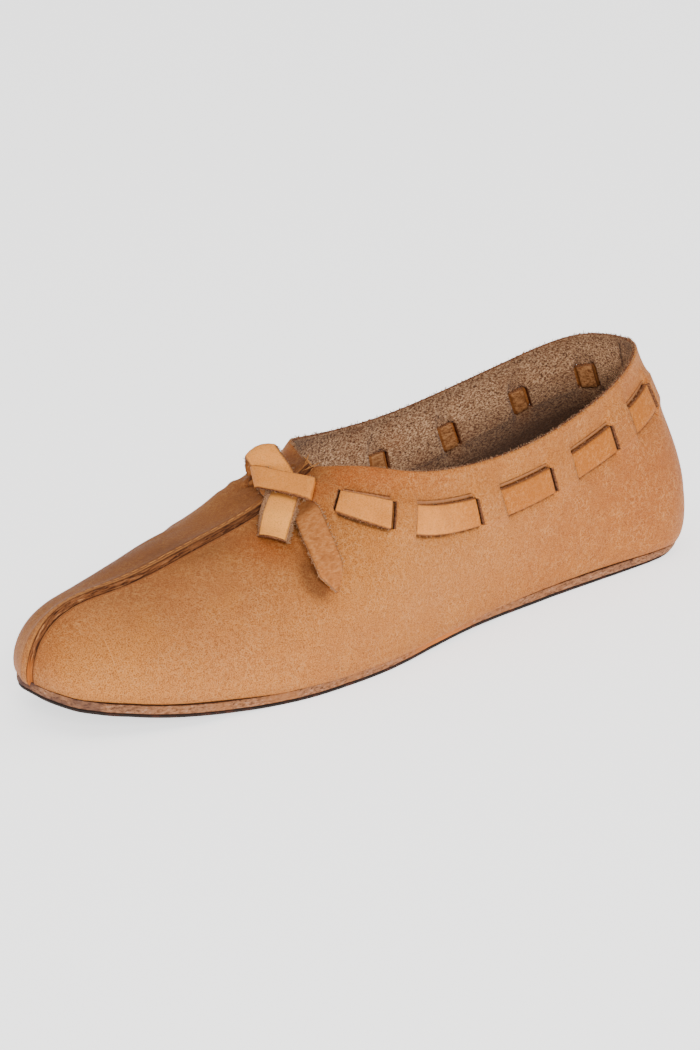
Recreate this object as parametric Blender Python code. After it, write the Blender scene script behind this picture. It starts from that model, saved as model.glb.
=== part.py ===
"""Left Viking-age style slip-on shoe of tan leather, drawn in millimetres and set down in metres.

Along runs from the heel to the toe, across is positive to the wearer's left, up is away from the floor.
"""
import bpy
import numpy as np

MM = 0.001
LENGTH = 280.0
MIDDLE_ALONG = 136.0
MIDDLE_ACROSS = -0.9

OUTSOLE_THICK = 1.0
SOLE_THICK = 3.0
INSOLE_THICK = 2.0
WALL = 2.0
JOINT_GAP = 0.25
FEATHER_INSET = 0.8
INSOLE_INSET = 3.4
SEAM_LAP = 1.2
SEAM_LAP_REACH = 7.0
COLLAR_CENTRE = 1.6
FEATHER_LIFT = OUTSOLE_THICK + SOLE_THICK + 2 * JOINT_GAP
TOE_SWING_FROM = 0.56

THONG_WIDE = 10.4
THONG_THICK = 1.8
THONG_CLEAR = 0.45
THONG_PRESS = 1.3
THONG_LIFT = 1.3
SLOT_LONG = 4.0
SLOT_HALF = 5.7
BAND_FADE = 5.0
THONG_DEPTH = 16.4
KNOT_STRAP_DEPTH = 12.6

RIB_COLUMNS = (
    "sole_at", "sole_lateral", "sole_medial", "top_at", "top_lateral", "top_medial", "top_height",
    "lean", "turn", "slope_lateral", "slope_medial", "low_fill", "fill_lateral", "fill_medial")
RIBS = {
    "toe tip":     (0.995, -4.4, 4.4, 0.986, 0.0, 0.0, 26.9, 20, 0, 62, 62, 0.48, 0.40, 0.40),
    "toe edge":    (0.983, 12.3, 15.0, 0.971, 0.0, 0.0, 32.4, 21, 62, 28, 28, 0.52, 0.45, 0.45),
    "toe side":    (0.940, 22.4, 27.2, 0.924, 0.0, 0.0, 38.0, 14, 84, 12, 9, 0.55, 0.52, 0.56),
    "toe box":     (0.870, 30.8, 35.4, 0.850, 0.0, 0.0, 39.8, 14, 86, 10, -3, 0.55, 0.55, 0.65),
    "ball front":  (0.805, 34.9, 40.1, 0.760, 0.0, 0.0, 45.0, 14, 82, 10, -2, 0.55, 0.55, 0.63),
    "ball":        (0.745, 38.4, 42.9, 0.665, 0.0, 0.0, 51.4, 13, 74, 12, 3, 0.55, 0.55, 0.61),
    "throat":      (0.690, 40.9, 43.1, 0.578, 0.0, 0.0, 61.9, 12, 62, 20, 6, 0.55, 0.55, 0.55),
    "corner":      (0.600, 40.8, 40.3, 0.553, 21.3, 17.5, 65.0, 11, 64, 45, 45, 0.50, 0.50, 0.50),
    "front":       (0.500, 37.1, 34.2, 0.490, 30.3, 29.0, 61.1, 10, 82, 72, 72, 0.45, 0.45, 0.45),
    "waist":       (0.385, 31.9, 29.2, 0.385, 31.7, 31.7, 58.9, 10, 90, 84, 84, 0.42, 0.42, 0.42),
    "quarter":     (0.260, 29.2, 27.8, 0.275, 30.7, 30.7, 61.5, 12, 94, 86, 86, 0.42, 0.42, 0.42),
    "heel side":   (0.125, 29.3, 28.3, 0.150, 25.4, 25.4, 68.7, 21, 110, 84, 84, 0.44, 0.42, 0.42),
    "heel corner": (0.027, 24.2, 22.4, 0.067, 15.0, 15.0, 75.2, 36, 140, 75, 75, 0.43, 0.42, 0.42),
    "heel back":   (-0.010, 0.0, 0.0, 0.037, 0.0, 0.0, 75.8, 32, 180, 73, 73, 0.42, 0.42, 0.42),
}
LAST_RIB = len(RIBS) - 1
THROAT_RIB = list(RIBS).index("throat")
RING = 2 * LAST_RIB

# Height of the tread above the floor: the heel and the ball lie flat, the toe springs up.
TREAD = ((-0.02, 1.2), (0.05, 0.0), (0.28, 0.0), (0.45, 1.0), (0.60, 0.0), (0.74, 0.0),
         (0.88, 3.7), (0.94, 6.8), (1.00, 12.6))

# Ribs between which the thong runs on the inside, from the throat to the heel, alike on both sides.
INSIDE_RUNS = ((5.90, 6.27), (7.28, 7.65), (8.75, 9.12), (9.95, 10.24), (10.89, 11.20), (11.88, 12.20))
VAMP_RIBS = (0.0, 0.2, 0.4, 0.6, 0.8, 1.0, 1.25, 1.5, 2.0, 2.5, 3.0, 3.5, 4.0, 4.5, 5.0, 5.35)
OUTSIDE_STEP = 6.0

# Knot over the throat and its two ends, each a strip laid over ribs at a depth and a lift above them.
STRIP_COLUMNS = ("rib", "depth", "lift", "wide", "thick")
KNOT = ((5.46, 10.0, 1.9, 9.5, 1.8), (5.46, 5.0, 3.0, 10.5, 3.4), (5.46, 0.0, 3.9, 11.0, 4.4),
        (20.54, 5.0, 4.2, 10.5, 3.4), (20.54, 10.0, 2.9, 9.5, 1.8))
SHORT_END = ((5.14, 9.0, 2.9, 8.8, 1.7), (5.00, 12.5, 2.6, 8.8, 1.7), (4.84, 16.0, 2.2, 8.8, 1.7),
             (4.66, 20.0, 1.9, 8.8, 1.7))
LONG_END = ((5.58, 14.0, 3.2, 9.4, 1.7), (5.66, 24.0, 2.2, 9.4, 1.7), (5.76, 36.0, 1.8, 9.0, 1.7),
            (5.86, 47.0, 1.8, 8.6, 1.7))
LOWER_ROWS = 7
SHORT_RIB = 52.0


def smooth_curve(values, closed=False):
    """Cubic spline through evenly spaced values."""
    heights = np.asarray(values, float)
    count = len(heights)
    if closed:
        rows = 4 * np.eye(count) + np.roll(np.eye(count), 1, 0) + np.roll(np.eye(count), -1, 0)
        pull = 6 * (np.roll(heights, -1) - 2 * heights + np.roll(heights, 1))
    else:
        rows = np.eye(count)
        pull = np.zeros(count)
        for i in range(1, count - 1):
            rows[i, i - 1:i + 2] = (1, 4, 1)
            pull[i] = 6 * (heights[i + 1] - 2 * heights[i] + heights[i - 1])
    bend = np.linalg.solve(rows, pull)

    def curve(place):
        start = int(np.floor(place))
        if not closed:
            start = min(max(start, 0), count - 2)
        part = place - start
        first = start % count
        second = (start + 1) % count
        rest = 1 - part
        return (heights[first] * rest + heights[second] * part
                + (rest ** 3 - rest) * bend[first] / 6 + (part ** 3 - part) * bend[second] / 6)

    return curve


def column(name):
    """One named column of the rib table, toe to heel."""
    place = RIB_COLUMNS.index(name)
    return [row[place] for row in RIBS.values()]


def around(lateral, medial, sign=1):
    """Closed curve from the toe tip along the lateral side to the heel and back along the medial side."""
    return smooth_curve(column(lateral) + [sign * v for v in column(medial)[-2:0:-1]], closed=True)


def mirrored(values, sign=1):
    """Open curve through the values and then back through them."""
    return smooth_curve(values + [sign * v for v in values[-2::-1]])


SOLE_AT = around("sole_at", "sole_at")
SOLE_WIDE = around("sole_lateral", "sole_medial", -1)
SEAM_AT = mirrored(column("top_at")[THROAT_RIB::-1])
SEAM_HIGH = mirrored(column("top_height")[THROAT_RIB::-1])
COLLAR_AT = mirrored(column("top_at")[THROAT_RIB:])
COLLAR_HIGH = mirrored(column("top_height")[THROAT_RIB:])
COLLAR_SIDE = smooth_curve(column("top_lateral")[THROAT_RIB:]
                           + [-v for v in column("top_medial")[-2:THROAT_RIB - 1:-1]])


def tread_height(at):
    """Underside of the shoe above the floor at a fraction of the length."""
    places = np.array([row[0] for row in TREAD])
    heights = np.array([row[1] for row in TREAD])
    runs = np.diff(places)
    rises = np.diff(heights) / runs
    slopes = np.concatenate([rises[:1], np.zeros(len(runs) - 1), rises[-1:]])
    for i in range(1, len(runs)):
        if rises[i - 1] * rises[i] > 0:
            slopes[i] = 2 * rises[i - 1] * rises[i] / (rises[i - 1] + rises[i])
    at = min(max(at, places[0]), places[-1])
    i = min(int(np.searchsorted(places, at, side="right")) - 1, len(runs) - 1)
    t = (at - places[i]) / runs[i]
    return (heights[i] * (2 * t ** 3 - 3 * t ** 2 + 1) + runs[i] * slopes[i] * (t ** 3 - 2 * t ** 2 + t)
            + heights[i + 1] * (3 * t ** 2 - 2 * t ** 3) + runs[i] * slopes[i + 1] * (t ** 3 - t ** 2))


def sole_point(rib):
    """Along and across of the sole's outline."""
    return np.array([SOLE_AT(rib) * LENGTH, SOLE_WIDE(rib)])


def outward(rib):
    """Direction in plan that points away from the sole's outline."""
    ahead = sole_point(rib + 0.001) - sole_point(rib - 0.001)
    normal = np.array([ahead[1], -ahead[0]])
    return normal / np.linalg.norm(normal)


def outline_point(rib, inset, lift):
    """Point on the outline moved inwards and lifted above the tread."""
    place = sole_point(rib) - inset * outward(rib)
    return np.array([place[0], place[1], tread_height(place[0] / LENGTH) + lift])


def seam_centre(at):
    """Across of the middle line, which swings inwards to the toe."""
    part = min(max((at - TOE_SWING_FROM) / (1 - TOE_SWING_FROM), 0.0), 1.0)
    toe = column("sole_lateral")[0]
    return COLLAR_CENTRE + (toe - COLLAR_CENTRE) * part * part * (3 - 2 * part)


def top_point(rib):
    """Upper end of a rib: on the seam before the throat, on the collar behind it."""
    rib = rib % RING
    side = min(rib, RING - rib)
    if side <= THROAT_RIB:
        at = SEAM_AT(THROAT_RIB + side)
        return np.array([at * LENGTH, seam_centre(at), SEAM_HIGH(THROAT_RIB + side)])
    place = rib - THROAT_RIB
    at = COLLAR_AT(place)
    return np.array([at * LENGTH, seam_centre(at) + COLLAR_SIDE(place), COLLAR_HIGH(place)])


def rib_arms(place):
    """Foot and arms of one rib of the table, counted round from the toe along the lateral side."""
    medial = place > LAST_RIB
    row = dict(zip(RIB_COLUMNS, list(RIBS.values())[RING - place if medial else place]))
    side = "medial" if medial else "lateral"
    low = outline_point(place, FEATHER_INSET, FEATHER_LIFT)
    high = top_point(place)
    span = 0.75 * np.linalg.norm(high - low)
    lean = np.radians(row["lean"])
    slope = np.radians(row["slope_" + side])
    turn = np.radians(-row["turn"] if medial else row["turn"])
    out = outward(place)
    low_arm = row["low_fill"] * span * np.array([np.sin(lean) * out[0], np.sin(lean) * out[1], np.cos(lean)])
    high_arm = high + row["fill_" + side] * span * np.array(
        [np.cos(slope) * np.cos(turn), np.cos(slope) * np.sin(turn), -np.sin(slope)])
    return np.concatenate([low_arm, high_arm])


ARMS = [smooth_curve(values, closed=True) for values in np.transpose([rib_arms(i) for i in range(RING)])]


def rib_curve(rib):
    """Fine points of one rib from its top down to the sole, with the length walked from the top."""
    arms = np.array([curve(rib) for curve in ARMS])
    low = outline_point(rib, FEATHER_INSET, FEATHER_LIFT)
    high = top_point(rib)
    t = np.linspace(0, 1, 161)[:, None]
    points = ((1 - t) ** 3 * high + 3 * (1 - t) ** 2 * t * arms[3:]
              + 3 * (1 - t) * t ** 2 * (low + arms[:3]) + t ** 3 * low)
    walked = np.concatenate([[0.0], np.cumsum(np.linalg.norm(np.diff(points, axis=0), axis=1))])
    return points, walked


def last_points(rib, depths):
    """Points on the last at depths below the top of a rib."""
    points, walked = rib_curve(rib)
    return np.stack([np.interp(depths, walked, points[:, i]) for i in range(3)], axis=1)


def last_normals(rib, depths):
    """Outward directions of the last at depths below the top of a rib."""
    depths = np.asarray(depths, float)
    longest = rib_curve(rib)[1][-1]
    down = last_points(rib, np.minimum(depths + 0.4, longest)) - last_points(rib, np.maximum(depths - 0.4, 0))
    level = np.maximum(depths, 0.6)
    back = last_points(rib + 0.01, level) - last_points(rib - 0.01, level)
    normals = np.cross(down, back)
    return normals / np.linalg.norm(normals, axis=1, keepdims=True)


def thong_depth(rib):
    """Depth of the thong's middle below the collar, less where its straps rise to the knot."""
    side = min(rib, RING - rib)
    return float(np.interp(side, (5.0, 5.9, 6.3), (KNOT_STRAP_DEPTH, KNOT_STRAP_DEPTH, THONG_DEPTH)))


def row_depths(rib):
    """Depths of the grid rows on one rib, with rows on the upper and lower ends of the slits."""
    longest = rib_curve(rib)[1][-1]
    middle = thong_depth(rib)
    band = np.array([0, 0.33 * (middle - SLOT_HALF), middle - SLOT_HALF - 2.6, middle - SLOT_HALF, middle,
                     middle + SLOT_HALF, middle + SLOT_HALF + 3.2])
    band = band * min(1.0, longest / SHORT_RIB)
    lower = band[-1] + (longest - band[-1]) * np.arange(1, LOWER_ROWS + 1) / LOWER_ROWS
    return np.concatenate([band, lower])


SLOT_ROWS = (3, 4)


def rib_step(rib, length):
    """Change of rib that walks a length along the thong."""
    depth = [thong_depth(rib)]
    speed = np.linalg.norm(last_points(rib + 0.05, depth) - last_points(rib - 0.05, depth)) / 0.1
    return length / speed


OUTSIDE_OFFSET = -THONG_PRESS + THONG_CLEAR + THONG_THICK / 2
INSIDE_OFFSET = THONG_LIFT - WALL - THONG_CLEAR - THONG_THICK / 2


def side_stations():
    """Ribs of one side with the wall's offset, the ribs that open a slit, and the thong's own course."""
    ribs = [(rib, 0.0) for rib in VAMP_RIBS]
    slots = []
    course = []
    behind = None
    for start, end in INSIDE_RUNS:
        before = start - rib_step(start, SLOT_LONG)
        after = end + rib_step(end, SLOT_LONG)
        if behind is not None:
            length = (before - behind) / rib_step(0.5 * (before + behind), 1.0)
            count = int(np.ceil(length / OUTSIDE_STEP))
            between = [behind + (before - behind) * i / count for i in range(1, count)]
            ribs += [(rib, -THONG_PRESS) for rib in between]
            course += [(rib, OUTSIDE_OFFSET) for rib in between]
        middle = float(THROAT_RIB) if start < THROAT_RIB < end else 0.5 * (start + end)
        ribs += [(before, -THONG_PRESS), (start, THONG_LIFT), (middle, THONG_LIFT), (end, THONG_LIFT),
                 (after, -THONG_PRESS)]
        slots += [before, end]
        course += [(before, OUTSIDE_OFFSET), (before + 0.1 * (start - before), OUTSIDE_OFFSET),
                   (start - 0.1 * (start - before), INSIDE_OFFSET), (start, INSIDE_OFFSET),
                   (middle, INSIDE_OFFSET), (end, INSIDE_OFFSET),
                   (end + 0.1 * (after - end), INSIDE_OFFSET), (after - 0.1 * (after - end), OUTSIDE_OFFSET),
                   (after, OUTSIDE_OFFSET)]
        behind = after
    heel = 0.5 * (behind + LAST_RIB)
    ribs += [(heel, -THONG_PRESS)]
    course += [(heel, OUTSIDE_OFFSET)]
    return ribs, slots, course


def band_share(distance):
    """Share of the wall's offset at a distance from the middle of the thong."""
    part = min(max((abs(distance) - SLOT_HALF) / BAND_FADE, 0.0), 1.0)
    return 1 - part * part * (3 - 2 * part)


SIDE_RIBS, SIDE_SLOTS, SIDE_COURSE = side_stations()
WALL_STATIONS = (SIDE_RIBS + [(float(LAST_RIB), -THONG_PRESS)]
                 + [(RING - rib, offset) for rib, offset in SIDE_RIBS[:0:-1]])
COURSE = (SIDE_COURSE + [(float(LAST_RIB), OUTSIDE_OFFSET)]
          + [(RING - rib, offset) for rib, offset in SIDE_COURSE[::-1]])
SEAM_COUNT = len(VAMP_RIBS) + 2


def add_part(name, points, faces, colour, roughness):
    """Closed mesh in the shoe's frame, toe towards minus Y."""
    points = np.asarray(points)
    placed = np.stack([points[:, 1] - MIDDLE_ACROSS, MIDDLE_ALONG - points[:, 0], points[:, 2]], axis=1) * MM
    mesh = bpy.data.meshes.new(name)
    mesh.from_pydata(placed.tolist(), [], faces)
    mesh.update()
    material = bpy.data.materials.new(name)
    material.use_nodes = True
    shader = material.node_tree.nodes["Principled BSDF"]
    shader.inputs["Base Color"].default_value = (*colour, 1.0)
    shader.inputs["Roughness"].default_value = roughness
    mesh.materials.append(material)
    bpy.context.scene.collection.objects.link(bpy.data.objects.new(name, mesh))


def without_repeats(face):
    """Face with neighbouring equal corners merged."""
    return [corner for i, corner in enumerate(face) if corner != face[i - 1]]


def build_upper(colour, roughness):
    """Hollow wall with the lapped seam, the slits, and the openings at the collar and underneath."""
    ribs = [rib for rib, offset in WALL_STATIONS]
    count = len(ribs)
    rows = len(row_depths(ribs[0]))
    grid = []
    normals = []
    offsets = []
    laps = []
    for rib, offset in WALL_STATIONS:
        depths = row_depths(rib)
        middle = thong_depth(rib)
        medial = rib > LAST_RIB
        side = min(rib, RING - rib)
        lap = SEAM_LAP * min(side, 1.0) * min(max((THROAT_RIB + 1 - side), 0.0), 1.0) if medial else 0.0
        grid.append(last_points(rib, depths))
        normals.append(last_normals(rib, depths))
        offsets.append([offset * band_share(depth - middle) for depth in depths])
        laps.append([lap * max(1 - depth / SEAM_LAP_REACH, 0.0) for depth in depths])
    grid = np.array(grid)
    normals = np.array(normals)
    for i in range(1, SEAM_COUNT):
        if min(ribs[i], RING - ribs[i]) <= THROAT_RIB:
            both = normals[i, 0] + normals[count - i, 0]
            normals[i, 0] = normals[count - i, 0] = both / np.linalg.norm(both)
    offsets = np.array(offsets)[:, :, None]
    laps = np.array(laps)[:, :, None]
    outer = grid + normals * (offsets + laps)
    inner = grid + normals * (offsets - WALL)
    inner[:, -1, 2] = outer[:, -1, 2]

    def at(i, j):
        return (i % count) * rows + j

    skin = []
    for i in range(count):
        opening = ribs[i] if ribs[i] < LAST_RIB else RING - ribs[(i + 1) % count]
        opened = any(abs(opening - slot) < 1e-6 for slot in SIDE_SLOTS)
        for j in range(rows - 1):
            if not (opened and j in SLOT_ROWS):
                skin.append([at(i, j), at(i, j + 1), at(i + 1, j + 1), at(i + 1, j)])
    inside = list(range(count * rows, 2 * count * rows))
    seam = [i for i in range(count // 2) if ribs[i] <= THROAT_RIB + 1e-6]
    for i in seam[1:]:
        inside[at(-i, 0)] = inside[at(i, 0)]
    for i in seam[:-1]:
        skin.append(without_repeats([at(i, 0), at(i + 1, 0), at(-i - 1, 0), at(-i, 0)]))
    edges = {}
    for face in skin:
        for first, second in zip(face, face[1:] + face[:1]):
            edges[(first, second)] = True
    faces = list(skin)
    for face in skin:
        turned = without_repeats([inside[corner] for corner in reversed(face)])
        if len(turned) > 2 and len(set(turned)) > 2:
            faces.append(turned)
    for first, second in edges:
        if (second, first) not in edges:
            faces.append(without_repeats([second, first, inside[first], inside[second]]))
    points = np.concatenate([outer.reshape(-1, 3), inner.reshape(-1, 3)])
    used = sorted({corner for face in faces for corner in face})
    place = {corner: i for i, corner in enumerate(used)}
    add_part("upper", points[used], [[place[corner] for corner in face] for face in faces], colour, roughness)


def build_plate(name, inset, low, high, colour, roughness):
    """Flat layer that follows the sole's outline and tread."""
    ribs = [rib for rib, offset in WALL_STATIONS]
    count = len(ribs)
    half = count // 2
    bottom = [outline_point(rib, inset, low) for rib in ribs]
    top = [outline_point(rib, inset, high) for rib in ribs]
    faces = []
    for i in range(count):
        ahead = (i + 1) % count
        faces.append([i, ahead, count + ahead, count + i])
    for i in range(half):
        strip = without_repeats([i, i + 1, (count - i - 1) % count, (count - i) % count])
        faces.append(strip[::-1])
        faces.append([count + corner for corner in strip])
    add_part(name, bottom + top, faces, colour, roughness)


def ribbon_faces(sections, corners):
    """Tube through equal sections, closed at both ends."""
    faces = []
    for i in range(sections - 1):
        for j in range(corners):
            ahead = (j + 1) % corners
            faces.append([i * corners + j, i * corners + ahead, (i + 1) * corners + ahead, (i + 1) * corners + j])
    half = corners // 2
    for start, turn in ((0, True), ((sections - 1) * corners, False)):
        for j in range(half - 1):
            cap = [start + j, start + j + 1, start + corners - 2 - j, start + corners - 1 - j]
            faces.append(cap[::-1] if turn else cap)
    return faces


def strip_section(rib, depths, offset, thick):
    """Section of a strip that lies along the last: outer corners downwards, then inner corners upwards."""
    points = last_points(rib, depths)
    normals = last_normals(rib, depths)
    outer = points + normals * (offset + thick / 2)
    inner = points + normals * (offset - thick / 2)
    return np.concatenate([outer, inner[::-1]])


def build_thong(colour, roughness):
    """Flat thong woven in and out of the slits from one side of the throat round the heel to the other."""
    sections = []
    for rib, offset in COURSE:
        depths = thong_depth(rib) + THONG_WIDE / 2 * np.array([-1, 0, 1])
        sections.append(strip_section(rib, depths, offset, THONG_THICK))
    add_part("thong", np.concatenate(sections), ribbon_faces(len(sections), 6), colour, roughness)


def build_strip(name, rows, colour, roughness):
    """Free strip of the thong over the last, its flat side turned to the surface."""
    centres = []
    normals = []
    for rib, depth, lift, wide, thick in rows:
        normal = last_normals(rib, [depth])[0]
        centres.append(last_points(rib, [depth])[0] + lift * normal)
        normals.append(normal)
    tangents = np.gradient(np.array(centres), axis=0)
    sections = []
    for centre, normal, tangent, row in zip(centres, normals, tangents, rows):
        side = np.cross(normal, tangent)
        side = side * row[STRIP_COLUMNS.index("wide")] / 2 / np.linalg.norm(side)
        rise = normal * row[STRIP_COLUMNS.index("thick")] / 2
        sections.append([centre + side + rise, centre - side + rise, centre - side - rise, centre + side - rise])
    add_part(name, np.concatenate(sections), ribbon_faces(len(sections), 4), colour, roughness)


for item in list(bpy.data.objects):
    bpy.data.objects.remove(item, do_unlink=True)

TAN = (0.56, 0.33, 0.17)
PALE_TAN = (0.66, 0.43, 0.26)
SOLE_BROWN = (0.36, 0.22, 0.16)
DARK = (0.035, 0.025, 0.022)
build_upper(TAN, 0.6)
build_plate("outsole", 0.0, 0.0, OUTSOLE_THICK, DARK, 0.75)
build_plate("sole", 0.0, OUTSOLE_THICK + JOINT_GAP, OUTSOLE_THICK + JOINT_GAP + SOLE_THICK, SOLE_BROWN, 0.8)
build_plate("insole", INSOLE_INSET, FEATHER_LIFT, FEATHER_LIFT + INSOLE_THICK, SOLE_BROWN, 0.85)
build_thong(PALE_TAN, 0.65)
build_strip("thong_knot", KNOT, PALE_TAN, 0.65)
build_strip("thong_end_short", SHORT_END, PALE_TAN, 0.65)
build_strip("thong_end_long", LONG_END, PALE_TAN, 0.65)
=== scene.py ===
import bpy
import numpy as np
from mathutils import Matrix, Vector


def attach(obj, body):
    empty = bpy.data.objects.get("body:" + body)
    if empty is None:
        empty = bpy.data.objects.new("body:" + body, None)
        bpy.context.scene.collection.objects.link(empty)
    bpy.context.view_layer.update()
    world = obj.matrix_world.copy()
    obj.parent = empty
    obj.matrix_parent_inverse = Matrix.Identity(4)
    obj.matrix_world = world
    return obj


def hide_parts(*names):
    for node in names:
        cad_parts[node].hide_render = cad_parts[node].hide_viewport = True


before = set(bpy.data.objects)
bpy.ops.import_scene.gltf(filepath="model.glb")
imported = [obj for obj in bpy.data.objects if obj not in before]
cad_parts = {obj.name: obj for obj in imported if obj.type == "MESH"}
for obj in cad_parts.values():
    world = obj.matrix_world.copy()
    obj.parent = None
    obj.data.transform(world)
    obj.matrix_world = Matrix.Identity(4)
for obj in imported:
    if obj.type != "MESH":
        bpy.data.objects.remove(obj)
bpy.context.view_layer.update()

MM = 0.001
LENGTH = 280.0
MIDDLE_ALONG = 136.0
MIDDLE_ACROSS = -0.9

OUTSOLE_THICK = 1.0
SOLE_THICK = 3.0
INSOLE_THICK = 2.0
WALL = 2.0
JOINT_GAP = 0.25
FEATHER_INSET = 0.8
INSOLE_INSET = 3.4
COLLAR_CENTRE = 1.6
FEATHER_LIFT = OUTSOLE_THICK + SOLE_THICK + 2 * JOINT_GAP
TOE_SWING_FROM = 0.56

THONG_WIDE = 10.4
THONG_THICK = 1.8
THONG_CLEAR = 0.2
THONG_PRESS = 1.3
THONG_LIFT = 1.3
SLOT_LONG = 1.8
SLOT_HALF = 4.85

RIB_COLUMNS = (
    "sole_at", "sole_lateral", "sole_medial", "top_at", "top_lateral", "top_medial", "top_height",
    "lean", "turn", "slope_lateral", "slope_medial", "low_fill", "fill_lateral", "fill_medial")
RIBS = {
    "toe tip":     (0.995, -4.4, 4.4, 0.986, 0.0, 0.0, 26.9, 20, 0, 62, 62, 0.48, 0.40, 0.40),
    "toe edge":    (0.983, 12.3, 15.0, 0.971, 0.0, 0.0, 32.4, 21, 62, 28, 28, 0.52, 0.45, 0.45),
    "toe side":    (0.940, 22.4, 27.2, 0.924, 0.0, 0.0, 38.0, 14, 84, 12, 9, 0.55, 0.52, 0.56),
    "toe box":     (0.870, 30.8, 35.4, 0.850, 0.0, 0.0, 39.8, 14, 86, 10, -3, 0.55, 0.55, 0.65),
    "ball front":  (0.805, 34.9, 40.1, 0.760, 0.0, 0.0, 45.0, 14, 82, 10, -2, 0.55, 0.55, 0.63),
    "ball":        (0.745, 38.4, 42.9, 0.665, 0.0, 0.0, 51.4, 13, 74, 12, 3, 0.55, 0.55, 0.61),
    "throat":      (0.690, 40.9, 43.1, 0.578, 0.0, 0.0, 61.9, 12, 62, 20, 6, 0.55, 0.55, 0.55),
    "corner":      (0.600, 40.8, 40.3, 0.553, 21.3, 17.5, 65.0, 11, 64, 45, 45, 0.50, 0.50, 0.50),
    "front":       (0.500, 37.1, 34.2, 0.490, 30.3, 29.0, 61.1, 10, 82, 72, 72, 0.45, 0.45, 0.45),
    "waist":       (0.385, 31.9, 29.2, 0.385, 31.7, 31.7, 58.9, 10, 90, 84, 84, 0.42, 0.42, 0.42),
    "quarter":     (0.260, 29.2, 27.8, 0.275, 30.7, 30.7, 61.5, 12, 94, 86, 86, 0.42, 0.42, 0.42),
    "heel side":   (0.125, 29.3, 28.3, 0.150, 25.4, 25.4, 68.7, 21, 110, 84, 84, 0.44, 0.42, 0.42),
    "heel corner": (0.027, 24.2, 22.4, 0.067, 15.0, 15.0, 75.2, 36, 140, 75, 75, 0.43, 0.42, 0.42),
    "heel back":   (-0.010, 0.0, 0.0, 0.037, 0.0, 0.0, 75.8, 32, 180, 73, 73, 0.42, 0.42, 0.42),
}
LAST_RIB = len(RIBS) - 1
THROAT_RIB = list(RIBS).index("throat")
RING = 2 * LAST_RIB
RIB_POINTS = 241
ARM_SHARE = 0.75
RIB_NUDGE = 0.001

# Height of the tread above the floor at fractions of the length.
TREAD = ((-0.02, 1.2), (0.05, 0.0), (0.28, 0.0), (0.45, 1.0), (0.60, 0.0), (0.74, 0.0),
         (0.88, 3.7), (0.94, 6.8), (1.00, 12.6))

# Ribs between which the thong runs on the inside, from the throat to the heel, on either side.
INSIDE_RUNS = ((5.90, 6.27), (7.28, 7.65), (8.75, 9.12), (9.95, 10.24), (10.89, 11.20), (11.88, 12.20))
MEDIAL_RUNS = ((5.90, 6.27), (7.44, 7.66), (9.10, 9.28), (10.13, 10.27), (11.05, 11.20), (12.07, 12.32))
# Depth of the thong's middle below the collar at ribs of one side, and how much more at ribs round the shoe.
THONG_DEPTHS = ((5.0, 12.6), (5.9, 12.6), (6.3, 16.4))
MEDIAL_DROP = ((LAST_RIB, 0.0), (13.6, 1.3), (19.0, 1.3), (19.6, 0.0))
# Shares of the period of the sines that make an uneven wave, and what brings their sum to about 1.
WAVE_SHARES = (1.0, 0.61, 0.37, 0.23)
WAVE_TOTAL = 2.3


# Small sums

def unit(vectors):
    """Vectors brought to length 1."""
    return vectors / np.linalg.norm(vectors, axis=-1, keepdims=True)


def eased(part):
    """Soft step over shares from 0 to 1."""
    return part * part * (3 - 2 * part)


def hump(away, width):
    """Bell that is 1 where away is 0 and fades out over a width."""
    return np.exp(-(away / width) ** 2)


def ramp(place, start, length):
    """Straight rise from 0 at a start to 1 a length on."""
    return np.clip((place - start) / length, 0, 1)


def along_rows(table, place):
    """Height at a place, straight between (place, height) rows."""
    return np.interp(place, *zip(*table))


def walked_along(line):
    """Length walked from the start of a line to each of its points."""
    return np.concatenate([[0.0], np.cumsum(np.linalg.norm(np.diff(line, axis=0), axis=1))])


def wander(places, period, seed):
    """Smooth uneven wave between about -1 and 1 along a line."""
    dice = np.random.default_rng(seed)
    total = 0.0
    for share in WAVE_SHARES:
        turns = np.asarray(places) / (period * share) + dice.random()
        total = total + np.sqrt(share) * np.sin(2 * np.pi * turns)
    return total / WAVE_TOTAL


# The last

def smooth_curve(values, closed=False):
    """Cubic spline through evenly spaced values."""
    heights = np.asarray(values, float)
    count = len(heights)
    if closed:
        rows = 4 * np.eye(count) + np.roll(np.eye(count), 1, 0) + np.roll(np.eye(count), -1, 0)
        pull = 6 * (np.roll(heights, -1) - 2 * heights + np.roll(heights, 1))
    else:
        rows = np.eye(count)
        pull = np.zeros(count)
        for i in range(1, count - 1):
            rows[i, i - 1:i + 2] = (1, 4, 1)
            pull[i] = 6 * (heights[i + 1] - 2 * heights[i] + heights[i - 1])
    bend = np.linalg.solve(rows, pull)

    def curve(place):
        place = np.asarray(place, float)
        start = np.floor(place).astype(int)
        if not closed:
            start = np.clip(start, 0, count - 2)
        part = place - start
        first = start % count
        second = (start + 1) % count
        rest = 1 - part
        return (heights[first] * rest + heights[second] * part
                + (rest ** 3 - rest) * bend[first] / 6 + (part ** 3 - part) * bend[second] / 6)

    return curve


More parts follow.
